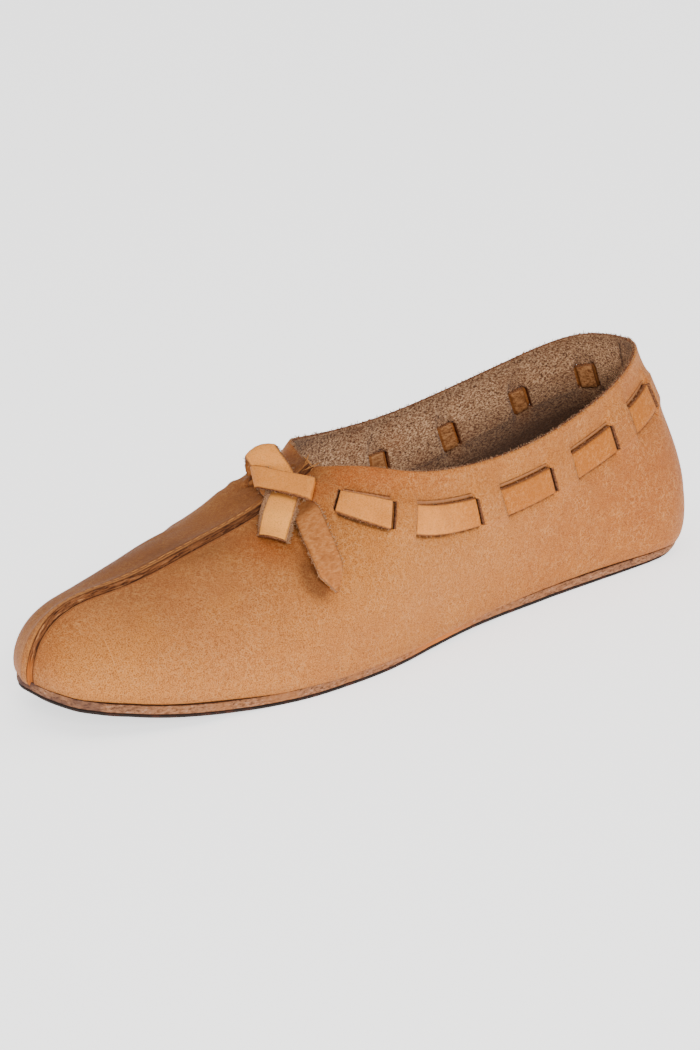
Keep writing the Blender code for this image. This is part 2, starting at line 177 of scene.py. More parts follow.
def steady_curve(table):
    """Curve through (place, height) rows that rises and falls only where the rows do."""
    places, heights = np.array(table, float).T
    runs = np.diff(places)
    rises = np.diff(heights) / runs
    slopes = np.concatenate([rises[:1], np.zeros(len(runs) - 1), rises[-1:]])
    for i in range(1, len(runs)):
        if rises[i - 1] * rises[i] > 0:
            slopes[i] = 2 * rises[i - 1] * rises[i] / (rises[i - 1] + rises[i])

    def curve(place):
        place = np.clip(place, places[0], places[-1])
        i = np.clip(np.searchsorted(places, place, side="right") - 1, 0, len(runs) - 1)
        t = (place - places[i]) / runs[i]
        return (heights[i] * (2 * t ** 3 - 3 * t ** 2 + 1) + runs[i] * slopes[i] * (t ** 3 - 2 * t ** 2 + t)
                + heights[i + 1] * (3 * t ** 2 - 2 * t ** 3) + runs[i] * slopes[i + 1] * (t ** 3 - t ** 2))

    return curve


def column(name):
    """One named column of the rib table, toe to heel."""
    place = RIB_COLUMNS.index(name)
    return [row[place] for row in RIBS.values()]


def around(lateral, medial, sign=1):
    """Closed curve from the toe tip along the lateral side to the heel and back along the medial side."""
    return smooth_curve(column(lateral) + [sign * v for v in column(medial)[-2:0:-1]], closed=True)


def mirrored(values):
    """Open curve through the values and then back through them."""
    return smooth_curve(values + values[-2::-1])


SOLE_AT = around("sole_at", "sole_at")
SOLE_WIDE = around("sole_lateral", "sole_medial", -1)
SEAM_AT = mirrored(column("top_at")[THROAT_RIB::-1])
SEAM_HIGH = mirrored(column("top_height")[THROAT_RIB::-1])
COLLAR_AT = mirrored(column("top_at")[THROAT_RIB:])
COLLAR_HIGH = mirrored(column("top_height")[THROAT_RIB:])
COLLAR_SIDE = smooth_curve(column("top_lateral")[THROAT_RIB:]
                           + [-v for v in column("top_medial")[-2:THROAT_RIB - 1:-1]])
TREAD_HEIGHT = steady_curve(TREAD)
# The toe's outer side lies lower than the even toe spring: drop at ribs, those of the medial side negative.
TOE_DIP = steady_curve((
    (-0.8, 0.0), (-0.3, 0.15), (0.0, 0.4), (0.5, 1.3), (1.0, 1.45), (1.5, 0.75), (2.1, 0.0)))


def side_of(ribs):
    """Ribs counted from the toe tip on their own side."""
    ribs = np.asarray(ribs, float) % RING
    return np.minimum(ribs, RING - ribs)


def sole_point(ribs):
    """Along and across of the sole's outline."""
    return np.stack([SOLE_AT(ribs) * LENGTH, SOLE_WIDE(ribs)], axis=-1)


def outward(ribs):
    """Direction in plan that points away from the sole's outline."""
    ahead = sole_point(np.asarray(ribs) + RIB_NUDGE) - sole_point(np.asarray(ribs) - RIB_NUDGE)
    return unit(np.stack([ahead[..., 1], -ahead[..., 0]], axis=-1))


def outline_point(ribs, inset, lift):
    """Points on the outline moved inwards and lifted above the tread."""
    place = sole_point(ribs) - np.asarray(inset)[..., None] * outward(ribs)
    signed = np.asarray(ribs, float) % RING
    signed = np.where(signed > LAST_RIB, signed - RING, signed)
    height = TREAD_HEIGHT(place[..., 0] / LENGTH) - TOE_DIP(signed) + lift
    return np.concatenate([place, height[..., None]], axis=-1)


def seam_centre(at):
    """Across of the middle line, which swings inwards to the toe."""
    toe = column("sole_lateral")[0]
    return COLLAR_CENTRE + (toe - COLLAR_CENTRE) * eased(ramp(at, TOE_SWING_FROM, 1 - TOE_SWING_FROM))


def top_point(ribs):
    """Upper ends of ribs: on the seam before the throat, on the collar behind it."""
    ribs = np.asarray(ribs, float) % RING
    side = side_of(ribs)
    on_seam = side <= THROAT_RIB
    at = np.where(on_seam, SEAM_AT(THROAT_RIB + side), COLLAR_AT(ribs - THROAT_RIB))
    high = np.where(on_seam, SEAM_HIGH(THROAT_RIB + side), COLLAR_HIGH(ribs - THROAT_RIB))
    swing = np.where(on_seam, 0.0, COLLAR_SIDE(ribs - THROAT_RIB))
    return np.stack([at * LENGTH, seam_centre(at) + swing, high], axis=-1)


def rib_arms(place):
    """Arms of one rib's curve: the lower one from its foot, the upper one as a point."""
    medial = place > LAST_RIB
    row = dict(zip(RIB_COLUMNS, list(RIBS.values())[RING - place if medial else place]))
    side = "medial" if medial else "lateral"
    low = outline_point(place, FEATHER_INSET, FEATHER_LIFT)
    high = top_point(place)
    span = ARM_SHARE * np.linalg.norm(high - low)
    lean = np.radians(row["lean"])
    slope = np.radians(row["slope_" + side])
    turn = np.radians(-row["turn"] if medial else row["turn"])
    out = outward(place)
    low_arm = row["low_fill"] * span * np.array([np.sin(lean) * out[0], np.sin(lean) * out[1], np.cos(lean)])
    high_arm = high + row["fill_" + side] * span * np.array(
        [np.cos(slope) * np.cos(turn), np.cos(slope) * np.sin(turn), -np.sin(slope)])
    return np.concatenate([low_arm, high_arm])


ARMS = [smooth_curve(values, closed=True) for values in np.transpose([rib_arms(i) for i in range(RING)])]

TABLE_PER_RIB = 40
TABLE_RIBS = np.linspace(0, RING, TABLE_PER_RIB * RING + 1)
TABLE_STEP = 0.25
TOP_ROWS = 3


def last_table():
    """Points and outward directions of the last at even ribs and depths, and the ribs' lengths."""
    arms = np.stack([curve(TABLE_RIBS) for curve in ARMS], axis=-1)[:, None]
    low = outline_point(TABLE_RIBS, FEATHER_INSET, FEATHER_LIFT)[:, None]
    high = top_point(TABLE_RIBS)[:, None]
    t = np.linspace(0, 1, RIB_POINTS)[None, :, None]
    lines = ((1 - t) ** 3 * high + 3 * (1 - t) ** 2 * t * arms[..., 3:]
             + 3 * (1 - t) * t ** 2 * (low + arms[..., :3]) + t ** 3 * low)
    steps = np.linalg.norm(np.diff(lines, axis=1), axis=2)
    walked = np.concatenate([np.zeros((len(lines), 1)), np.cumsum(steps, axis=1)], axis=1)
    longest = walked[:, -1]
    depths = np.arange(0, longest.max() + 2, TABLE_STEP)
    points = np.stack([[np.interp(depths, far, line[:, i]) for far, line in zip(walked, lines)]
                       for i in range(3)], axis=2)
    past = np.maximum(depths[None] - longest[:, None], 0)[..., None]
    points += past * ((lines[:, -1] - lines[:, -2]) / steps[:, -1:])[:, None]
    ring = points[:-1]
    back = np.roll(ring, -1, axis=0) - np.roll(ring, 1, axis=0)
    back[:, :TOP_ROWS] = back[:, TOP_ROWS:TOP_ROWS + 1]
    normals = unit(np.cross(np.gradient(ring, axis=1), back))
    return points, np.concatenate([normals, normals[:1]]), longest


TABLE_POINTS, TABLE_NORMALS, TABLE_LENGTHS = last_table()


def look_up(table, ribs, depths):
    """Values of a table of the last at ribs and depths."""
    ribs, depths = np.broadcast_arrays(np.asarray(ribs, float) % RING, np.asarray(depths, float))
    across = ribs * (len(TABLE_RIBS) - 1) / RING
    down = np.clip(depths / TABLE_STEP, 0, table.shape[1] - 1.001)
    i = np.clip(across.astype(int), 0, len(TABLE_RIBS) - 2)
    j = down.astype(int)
    u = (across - i)[..., None]
    v = (down - j)[..., None]
    return ((table[i, j] * (1 - v) + table[i, j + 1] * v) * (1 - u)
            + (table[i + 1, j] * (1 - v) + table[i + 1, j + 1] * v) * u)


def last_points(ribs, depths):
    """Points on the last at depths below the tops of ribs."""
    return look_up(TABLE_POINTS, ribs, depths)


def last_normals(ribs, depths):
    """Outward directions of the last at depths below the tops of ribs."""
    return unit(look_up(TABLE_NORMALS, ribs, depths))


def rib_length(ribs):
    """Length of ribs from the top to the sole."""
    return np.interp(np.asarray(ribs, float) % RING, TABLE_RIBS, TABLE_LENGTHS)


def on_last(ribs, depths, lift=0.0):
    """Points above the last."""
    return last_points(ribs, depths) + np.asarray(lift)[..., None] * last_normals(ribs, depths)


def thong_depth(ribs):
    """Depth of the thong's middle below the collar, less where its straps rise to the knot."""
    return along_rows(MEDIAL_DROP, ribs) + along_rows(THONG_DEPTHS, side_of(ribs))


# Slits lean from their ribs: change of rib per millimetre of depth at ribs of one side. The lean sets in
# behind the knot and fades out above and below the slits.
SLIT_LEAN = ((5.6, -0.018), (5.9, -0.026), (6.28, -0.0185), (7.25, -0.011), (7.65, -0.0095), (8.7, 0.008),
             (9.1, 0.012), (9.9, 0.008), (10.9, 0.005), (11.8, 0.002), (13.0, 0.0))
MEDIAL_LEAN = ((5.6, -0.018), (5.9, -0.026), (6.28, -0.0185), (7.5, -0.002), (9.1, 0.006), (10.2, 0.008),
               (11.1, 0.010), (12.2, 0.010), (13.0, 0.0))
LEAN_FROM = 5.2
LEAN_FADE = 0.4
LEAN_EDGE = 2


def leaning(ribs, depths):
    """Ribs moved with depth so that the slits and the thong's sections lean as they are cut."""
    ribs = np.asarray(ribs, float)
    side = side_of(ribs)
    lean = np.where(ribs > LAST_RIB, -along_rows(MEDIAL_LEAN, side), along_rows(SLIT_LEAN, side))
    lean = lean * ramp(side, LEAN_FROM, LEAN_FADE)
    middle = thong_depth(ribs)
    away = depths - middle
    held = np.clip((middle - LEAN_EDGE - np.abs(away)) / (middle - LEAN_EDGE - SLOT_HALF), 0, 1)
    return ribs + lean * away * eased(held)


def placed(points):
    """Millimetre points set down in the frame, toe towards minus Y."""
    along, across, up = np.moveaxis(np.asarray(points, float), -1, 0)
    return np.stack([across - MIDDLE_ACROSS, MIDDLE_ALONG - along, up], axis=-1) * MM


def turned(directions):
    """Directions of the last turned into the frame."""
    return placed(directions) - placed(np.zeros(3))


# Camera, floor and light

# The photograph's view, fitted to the shoe in it: lens, shift in pixels, the camera's axes and its place.
SENSOR = 36.0
LENS = 133.24
PHOTO_LONG = 1050
SHIFT = (-6.04, -6.76)
RIGHT = (0.6877, 0.7258, -0.0166)
UPWARDS = (-0.2186, 0.2288, 0.9486)
BACKWARDS = (0.6923, -0.6488, 0.3160)
EYE = (0.9098, -0.8557, 0.4529)
VIEW_END = 20.0
SKY = (1.0, 0.99, 0.98, 1.0)
SKY_STRENGTH = 0.69
FLOOR_REACH = 4.0
FLOOR_LOOK = {"Base Color": (0.93, 0.93, 0.93, 1.0), "Roughness": 0.9, "Emission Color": (1.0, 1.0, 1.0, 1.0),
              "Emission Strength": 1.5}
# Soft boxes that look at the shoe: name, place, side, watts and colour.
AIM = (0.0, 0.0, 0.03)
LIGHTS = (("key", (1.52, -1.02, 0.9), 0.55, 27.5, (1.0, 0.98, 0.95)),
          ("side", (0.5, 1.6, 1.0), 1.2, 5.0, (1.0, 0.98, 0.96)),
          ("top", (0.1, -0.4, 1.9), 1.4, 8.0, (1.0, 0.99, 0.98)))


def add_object(name, data):
    """New object in the scene."""
    made = bpy.data.objects.new(name, data)
    bpy.context.scene.collection.objects.link(made)
    return made


def set_camera():
    """Camera at the photograph's angle: toe to the lower left, outer side towards it."""
    camera = bpy.data.cameras.new("camera")
    camera.sensor_width = SENSOR
    camera.lens = LENS
    camera.shift_x = SHIFT[0] / PHOTO_LONG
    camera.shift_y = SHIFT[1] / PHOTO_LONG
    camera.clip_end = VIEW_END
    holder = add_object("camera", camera)
    holder.matrix_world = Matrix.Translation(EYE) @ Matrix(list(zip(RIGHT, UPWARDS, BACKWARDS))).to_4x4()
    bpy.context.scene.camera = holder


def add_light(name, place, size, watts, colour):
    """Square soft box that looks at the shoe."""
    light = bpy.data.lights.new(name, "AREA")
    light.shape = "SQUARE"
    light.size = size
    light.energy = watts
    light.color = colour
    holder = add_object(name, light)
    holder.location = place
    holder.rotation_euler = (Vector(AIM) - Vector(place)).to_track_quat("-Z", "Y").to_euler()


def set_stage():
    """Pale glowing floor under an even sky and three soft boxes."""
    world = bpy.data.worlds.new("studio")
    bpy.context.scene.world = world
    world.use_nodes = True
    sky = world.node_tree.nodes["Background"]
    sky.inputs["Color"].default_value = SKY
    sky.inputs["Strength"].default_value = SKY_STRENGTH
    mesh = bpy.data.meshes.new("floor")
    corners = [(x * FLOOR_REACH, y * FLOOR_REACH, 0.0) for x, y in ((-1, -1), (1, -1), (1, 1), (-1, 1))]
    mesh.from_pydata(corners, [], [(0, 1, 2, 3)])
    floor = add_object("floor", mesh)
    paper = bpy.data.materials.new("floor_paper")
    paper.use_nodes = True
    shader = paper.node_tree.nodes["Principled BSDF"]
    for socket, value in FLOOR_LOOK.items():
        shader.inputs[socket].default_value = value
    mesh.materials.append(paper)
    for light in LIGHTS:
        add_light(*light)


set_camera()
set_stage()


# Materials

class Value:
    """A socket that takes part in sums; every sum adds its Math node."""

    def __init__(self, paint, socket):
        self.paint = paint
        self.socket = socket

    def _sum(self, operation, first, second):
        return self.paint.node("ShaderNodeMath", {"operation": operation}, {0: first, 1: second})

    def __add__(self, other):
        return self._sum("ADD", self, other)

    __radd__ = __add__

    def __mul__(self, other):
        return self._sum("MULTIPLY", self, other)

    __rmul__ = __mul__

    def __sub__(self, other):
        return self._sum("SUBTRACT", self, other)

    def __rsub__(self, other):
        return self._sum("SUBTRACT", other, self)

    def __abs__(self):
        return self._sum("ABSOLUTE", self, 0.0)

    def least(self, other):
        return self._sum("MINIMUM", self, other)

    def most(self, other):
        return self._sum("MAXIMUM", self, other)

    def fade(self, start, end):
        """Soft step from 0 at start to 1 at end."""
        return self.paint.node("ShaderNodeMapRange", {"interpolation_type": "SMOOTHSTEP"},
                               {"Value": self, "From Min": start, "From Max": end}, "Result")

    def line(self, centre, width):
        """Soft line, 1 at the centre and 0 a width away."""
        return 1 - abs(self - centre).fade(0.0, width)


def feed(tree, socket, value):
    """Links a value to a socket, or sets the number or colour on it."""
    if isinstance(value, Value):
        value = value.socket
    if isinstance(value, bpy.types.NodeSocket):
        tree.links.new(value, socket)
    elif socket.type == "RGBA" and len(value) == 3:
        socket.default_value = (*value, 1.0)
    else:
        socket.default_value = value


def add_node(tree, kind, settings=None, values=None):
    """New node in a tree, set up first and then with its sockets fed."""
    made = tree.nodes.new(kind)
    for name, setting in (settings or {}).items():
        setattr(made, name, setting)
    for name, value in (values or {}).items():
        feed(tree, made.inputs[name], value)
    return made


# Sockets of a Mix node for colours, which share their names with those for numbers and vectors.
MIX_SHARE = 0
MIX_UNDER = 6
MIX_OVER = 7
MIX_RESULT = 2
SHEEN_ROUGH = 0.6


class Paint:
    """A Principled material, its node tree and the colour laid down so far."""

    def __init__(self, name, ground):
        self.material = bpy.data.materials.new(name)
        self.material.use_nodes = True
        self.tree = self.material.node_tree
        self.shader = self.tree.nodes["Principled BSDF"]
        self.place = self.node("ShaderNodeTexCoord", out="Object")
        self.colour = ground

    def node(self, kind, settings=None, values=None, out=0):
        """Adds a node and gives back one of its outputs."""
        return Value(self, add_node(self.tree, kind, settings, values).outputs[out])

    def attribute(self, name):
        """A number kept on the piece's points."""
        return self.node("ShaderNodeAttribute", {"attribute_name": name}, out="Fac")

    def stretched(self, scale, turn=(0.0, 0.0, 0.0)):
        """Object place, scaled and turned."""
        return self.node("ShaderNodeMapping", {"vector_type": "POINT"},
                         {"Vector": self.place, "Rotation": turn, "Scale": scale}, "Vector")

    def pattern(self, place, scale, detail, rough, twist=0.0):
        """Noise between 0 and 1 at a scale of its place."""
        return self.node("ShaderNodeTexNoise", {}, {
            "Vector": place, "Scale": scale, "Detail": detail, "Roughness": rough,
            "Distortion": twist}, "Fac")

    def noise(self, size, detail=3.0, rough=0.55, place=None, twist=0.0):
        """Noise between 0 and 1 whose features are about a size in millimetres."""
        return self.pattern(place or self.place, 1.0 / (size * MM), detail, rough, twist)

    def cells(self, size, place):
        """Distance to the nearest edge between cells of about a size in millimetres."""
        return self.node("ShaderNodeTexVoronoi", {"feature": "DISTANCE_TO_EDGE"}, {
            "Vector": place, "Scale": 1.0 / (size * MM)}, "Distance")

    def vectors(self, operation, first, second, out="Vector"):
        """Sum, difference or dot product of two vectors."""
        return self.node("ShaderNodeVectorMath", {"operation": operation}, {0: first, 1: second}, out)

    def warped(self, size, amount):
        """Object place pushed about by a noise, so that a pattern on it isn't regular."""
        push = self.node("ShaderNodeTexNoise", {}, {
            "Vector": self.place, "Scale": 1.0 / (size * MM), "Detail": 2.0}, "Color")
        centred = self.vectors("SUBTRACT", push, (0.5, 0.5, 0.5))
        scaled = self.node("ShaderNodeVectorMath", {"operation": "SCALE"}, {0: centred, "Scale": amount * MM})
        return self.vectors("ADD", self.place, scaled)

    def scratch(self, first, last, width):
        """Hairline on the surface between two places of the last."""
        start = Vector(placed(on_last(*first)))
        ahead = Vector(placed(on_last(*last))) - start
        side = ahead.cross(Vector(turned(last_normals(*first)))).normalized()
        gone = self.vectors("SUBTRACT", self.place, start)
        off = self.vectors("DOT_PRODUCT", gone, side, "Value")
        far = self.vectors("DOT_PRODUCT", gone, ahead / ahead.length_squared, "Value")
        return (1 - abs(off).fade(0.0, width * MM)) * far.fade(0.0, 0.1) * (1 - far.fade(0.85, 1.0))

    def mix(self, under, over, share):
        """Colour over another by a share."""
        return self.node("ShaderNodeMix", {"data_type": "RGBA"}, {
            MIX_SHARE: share, MIX_UNDER: under, MIX_OVER: over}, MIX_RESULT)

    def lay(self, over, share):
        """Lays a colour over the one so far by a share."""
        self.colour = self.mix(self.colour, over, share)

    def finish(self, roughness, specular, height=None, sheen=0.0):
        """Feeds the shader; the height is in millimetres."""
        values = {"Base Color": self.colour, "Roughness": roughness, "Specular IOR Level": specular,
                  "Sheen Weight": sheen, "Sheen Roughness": SHEEN_ROUGH}
        if height is not None:
            values["Normal"] = self.node("ShaderNodeBump", {}, {
                "Strength": 1.0, "Distance": MM, "Height": height}, "Normal")
        for name, value in values.items():
            feed(self.tree, self.shader.inputs[name], value)
        return self.material


TAN = (0.40, 0.131, 0.024)
TAN_TOE = (0.44, 0.155, 0.043)
TAN_PALE = (0.52, 0.188, 0.034)
TAN_DEEP = (0.25, 0.077, 0.019)
# Pale colour of the grain's light creases and of scratches, also laid as a painted highlight on the seam's
# near lip.
WEAR_AND_HIGHLIGHT = (0.64, 0.300, 0.100)
ORANGE = (0.36, 0.092, 0.016)
BROWN = (0.13, 0.045, 0.015)
EDGE_PINK = (0.20, 0.075, 0.033)
EDGE_DARK = (0.035, 0.011, 0.006)
FLESH = (0.36, 0.180, 0.090)
FLESH_LIGHT = (0.92, 0.560, 0.315)
FLESH_DARK = (0.060, 0.024, 0.010)
PEACH = (0.72, 0.255, 0.045)
PEACH_PALE = (1.0, 0.400, 0.075)
THREAD_GOLD = (0.50, 0.205, 0.055)
PORE = (0.17, 0.049, 0.013)
# Colour of the cut edge beside the thong, lightened as painted light against the step's shade.
LIP = (0.46, 0.205, 0.100)
SEAM_RAW = (0.22, 0.076, 0.026)
SEAM_STREAK = (0.58, 0.265, 0.100)
SEAM_FOOT = (0.42, 0.115, 0.018)
# Painted shade in the seam's groove, and a painted highlight on the seam's far lip.
SEAM_GROOVE_SHADE = (0.22, 0.062, 0.018)
SEAM_HIGHLIGHT = (0.56, 0.235, 0.065)
SLIT_BROWN = (0.24, 0.095, 0.042)
SLIT_DARK = (0.05, 0.017, 0.009)
SOLE_BROWN = (0.31, 0.134, 0.062)
SOLE_PALE = (0.48, 0.28, 0.185)
SOLE_TAN = (0.33, 0.125, 0.042)
SOLE_ORANGE = (0.50, 0.150, 0.026)
SOLE_GREY = (0.075, 0.036, 0.028)
TREAD_BLACK = (0.014, 0.008, 0.006)
TREAD_RED = (0.060, 0.018, 0.009)
TREAD_DUST = (0.08, 0.050, 0.034)
THONG_ORANGE = (0.39, 0.112, 0.010)
THONG_WORN = (0.86, 0.42, 0.14)
THONG_RAW = (0.12, 0.05, 0.025)
THONG_RAW_PALE = (0.34, 0.18, 0.10)
THONG_CUT = (0.26, 0.105, 0.042)
THONG_CUT_DARK = (0.055, 0.018, 0.008)
END_CUT = (0.46, 0.225, 0.110)
END_CUT_DARK = (0.090, 0.036, 0.016)
NAP = (0.44, 0.152, 0.038)
NAP_PALE = (0.58, 0.250, 0.082)
NAP_DEEP = (0.19, 0.060, 0.018)
INNER_DARK = (0.17, 0.064, 0.022)
INNER_PALE = (0.56, 0.270, 0.115)
FIBRE = (0.42, 0.235, 0.125)
FIBRE_PALE = (0.50, 0.29, 0.16)
FIBRE_DARK = (0.20, 0.075, 0.028)
# Hairline scratches on the vamp: rib and depth of their ends, half width in millimetres, strength.
SCRATCHES = (((1.96, 18.4), (1.97, 29.5), 0.16, 0.8), ((1.16, 13.6), (1.56, 14.4), 0.12, 0.6),
             ((3.54, 30.3), (4.6, 29.5), 0.16, 0.35), ((1.98, 31.9), (2.04, 35.9), 0.12, 0.6),
             ((2.25, 20.0), (2.05, 29.0), 0.12, 0.35))


def grain_height(paint):
    """Height of the grain in millimetres, its web of fine light creases and its dark pores."""
    loose = paint.warped(1.2, 0.9)
    fine = paint.cells(1.2, loose)
    wide = paint.cells(2.7, loose)
    patches = paint.noise(11.0, 3.0, 0.6).fade(0.34, 0.62)
    broken = paint.noise(1.5, 2.0, 0.6).fade(0.38, 0.56)
    web = ((1 - fine.fade(0.02, 0.13)) * 0.8).most(1 - wide.fade(0.01, 0.055))
    web = web * broken * (patches * 0.75 + 0.25)
    speckle = paint.noise(0.38, 1.5, 0.7)
    pores = 1 - speckle.fade(0.37, 0.49)
    glints = speckle.fade(0.54, 0.66)
    return web * 0.06 - pores * 0.06, web.most(glints * 0.7), pores


def lay_seam(paint, foot):
    """Paints the lapped seam with its raw, streaky edge, painted shade in its groove, beside the edge and on
    the edge near the throat, and painted highlights on both lips; gives back the edge's strip and its
    streaks.
    """
    seam = paint.attribute("seam")
    run = paint.attribute("run")
    lengthwise = paint.node("ShaderNodeCombineXYZ", {}, {"X": run * 0.09, "Y": seam * 1.6, "Z": 0.0})
    streaks = paint.pattern(lengthwise, 1.6, 4.0, 0.65)
    frayed = paint.pattern(lengthwise, 0.7, 5.0, 0.7)
    ragged = seam + (frayed - 0.5) * 0.9
    strip = ragged.fade(-1.5, -1.2) * (1 - ragged.fade(0.05, 0.3))
    raw = paint.mix(SEAM_RAW, EDGE_DARK, streaks.fade(0.48, 0.60) * 0.9)
    raw = paint.mix(raw, SEAM_STREAK, (1 - streaks.fade(0.36, 0.46)) * (run.fade(50.0, 105.0) * 0.6 + 0.15))
    # The raw edge darkens towards the throat: painted shade.
    raw = paint.mix(raw, EDGE_DARK, (1 - run.fade(20.0, 75.0)) * 0.5)
    raw = paint.mix(raw, SEAM_FOOT, (1 - foot.fade(4.0, 10.0)) * 0.8)
    # Painted shade in the groove beside the edge, and a painted highlight on the near half's rounded lip.
    paint.lay(SEAM_GROOVE_SHADE, ragged.line(-2.0, 1.3) * 0.6)
    paint.lay(WEAR_AND_HIGHLIGHT, ragged.line(-1.75, 0.35) * frayed.fade(0.40, 0.52) * 0.75)
    paint.lay(raw, strip)
    # Painted shade at the foot and at the shoulder of the raw edge, and a painted highlight on the far half's
    # lip.
    paint.lay(EDGE_DARK, (ragged.line(-1.2, 0.45) * 0.85).most(ragged.line(0.2, 0.25) * 0.8))
    paint.lay(SEAM_HIGHLIGHT, ragged.line(0.75, 0.4) * streaks.fade(0.42, 0.58) * 0.6)
    paint.lay(BROWN, ragged.line(2.9, 0.35) * 0.45)
    return strip, streaks


def lay_thong_shade_lines(paint):
    """Paints painted shade as dark lines beside the thong where it lies outside, and a pale lip between them,
    partly the leather's cut edge and partly painted light against the shade of the step.
    """
    off = paint.attribute("thong_off")
    out = paint.attribute("thong_out")

    def band(start, full, last, end):
        return off.fade(start, full) * (1 - off.fade(last, end))

    uneven = paint.noise(2.2, 3.0, 0.6).fade(0.3, 0.6) * 0.6 + 0.4
    above = band(-5.5, -5.2, -5.0, -4.4)
    rim = band(-7.1, -6.7, -6.6, -6.3)
    lip = band(-6.5, -6.2, -5.6, -5.3)
    below = band(4.4, 5.2, 5.7, 6.7)
    paint.lay(LIP, lip * out * 0.6)
    paint.lay(EDGE_DARK, (above * 0.7).most(below * 0.75).most(rim * 0.75) * (out * uneven))


def leather_upper():
    """Grain side of the upper: mottled tan with orange and pale stretches, brown painted shade and painted
    shadow, and the lapped seam.
    """
    paint = Paint("grain_leather", TAN)
    height, web, pores = grain_height(paint)
    cloud = paint.noise(15.0, 4.0, 0.6)
    blotch = paint.noise(4.5, 3.0, 0.6)
    ahead = paint.node("ShaderNodeSeparateXYZ", {}, {"Vector": paint.place}, "Y")
    brown = paint.attribute("brown")
    foot = paint.attribute("foot")
    paint.lay(TAN_TOE, 1 - ahead.fade(-0.10, -0.01))
    paint.lay(TAN_PALE, cloud.fade(0.44, 0.68) * 0.4)
    paint.lay(TAN_DEEP, blotch.fade(0.50, 0.74) * 0.28)
    paint.lay(TAN_PALE, paint.attribute("pale"))
    paint.lay(ORANGE, paint.attribute("orange") * (blotch * 0.7 + 0.55).least(1.0))
    # Brown painted shade and painted shadow, from the numbers on the points.
    paint.lay(BROWN, brown * (cloud * 0.6 + 0.6).least(1.0))
    paint.lay(PORE, pores * 0.72)
    paint.lay(WEAR_AND_HIGHLIGHT, web * (0.6 - brown * 0.4))
    for first, last, width, strength in SCRATCHES:
        paint.lay(WEAR_AND_HIGHLIGHT, paint.scratch(first, last, width) * strength)
    strip, streaks = lay_seam(paint, foot)
    lay_thong_shade_lines(paint)
    paint.lay(EDGE_DARK, (1 - foot.fade(0.1, 0.45)) * 0.8)
    paint.lay(BROWN, (1 - foot.fade(0.4, 4.5)) * 0.22)
    rough = 0.55 + web * 0.08 + (cloud - 0.5) * 0.16 + strip * 0.3
    return paint.finish(rough, 0.10, height + strip * streaks * 0.3)


def leather_flesh():
    """Rough inside of the upper: short grey-brown nap with darker and lighter strokes."""
    paint = Paint("flesh_side", FLESH)
    combed = paint.stretched((1.0, 0.5, 0.9), (0.5, 0.0, 0.0))
    nap = paint.noise(0.46, 2.0, 0.7, place=combed, twist=0.4)
    wide = paint.noise(2.4, 3.0, 0.6)
    cloud = paint.noise(14.0, 3.0)
    both = nap * 0.88 + wide * 0.12
    paint.lay(FLESH_LIGHT, both.fade(0.48, 0.62) * 0.85)
    paint.lay(FLESH_DARK, (1 - both.fade(0.36, 0.48)) * 0.95)
    paint.lay(TAN_DEEP, cloud.fade(0.45, 0.7) * 0.3)
    # The heel's dark seam line, painted shade low down inside, and the insole's even shade.
    paint.lay(FLESH_DARK, paint.attribute("brown"))
    return paint.finish(0.95, 0.1, nap * 0.4 + wide * 0.2, sheen=0.1)


def leather_edge(name, light, dark):
    """Cut edge with loose fibres."""
    paint = Paint(name, light)
    fibres = paint.noise(0.55, 4.0, 0.75, twist=0.5)
    wide = paint.noise(2.8, 3.0)
    paint.lay(dark, (1 - fibres.fade(0.40, 0.54)) * 0.9)
    paint.lay(FLESH_LIGHT, fibres.fade(0.60, 0.74) * 0.4)
    paint.lay(dark, wide.fade(0.55, 0.75) * 0.4)
    return paint.finish(0.9, 0.15, fibres * 0.3)


def leather_sole():
    """Cut edge of the sole: fibrous pinkish brown with a dark joint line, orange in the waist."""
    paint = Paint("sole_edge", SOLE_BROWN)
    layers = paint.pattern(paint.stretched((0.5, 0.5, 1.3)), 1100.0, 4.0, 0.75)
    wide = paint.noise(9.0, 3.0)
    lift = paint.attribute("lift")
    paint.lay(EDGE_DARK, (1 - layers.fade(0.38, 0.52)) * 0.8)
    paint.lay(SOLE_PALE, layers.fade(0.55, 0.68) * 0.75)
    paint.lay(SOLE_TAN, (1 - paint.attribute("heel")) * wide.fade(0.38, 0.60) * 0.8)
    paint.lay(SOLE_ORANGE, paint.attribute("orange"))
    paint.lay(SOLE_GREY, paint.attribute("tip") * wide.fade(0.30, 0.60))
    paint.lay(EDGE_DARK, lift.fade(4.0, 4.22) * 0.8)
    paint.lay(EDGE_DARK, (1 - lift.fade(1.3, 1.6)) * 0.7)
    return paint.finish(0.85, 0.15, layers * 0.35)


def rubber_outsole():
    """Thin dark tread layer, worn to red-brown here and there."""
    paint = Paint("dark_tread", TREAD_BLACK)
    wear = paint.noise(7.0, 4.0, 0.65)
    grit = paint.noise(0.8, 3.0)
    paint.lay(TREAD_RED, wear.fade(0.48, 0.68))
    paint.lay(TREAD_DUST, grit.fade(0.62, 0.78) * 0.4)
    return paint.finish(0.7 + (wear - 0.5) * 0.2, 0.2, grit * 0.15)


def ragged_border(paint):
    """Distance from the thong's edges, made uneven."""
    return paint.attribute("border") + (paint.noise(1.6, 3.0) - 0.5) * 0.5


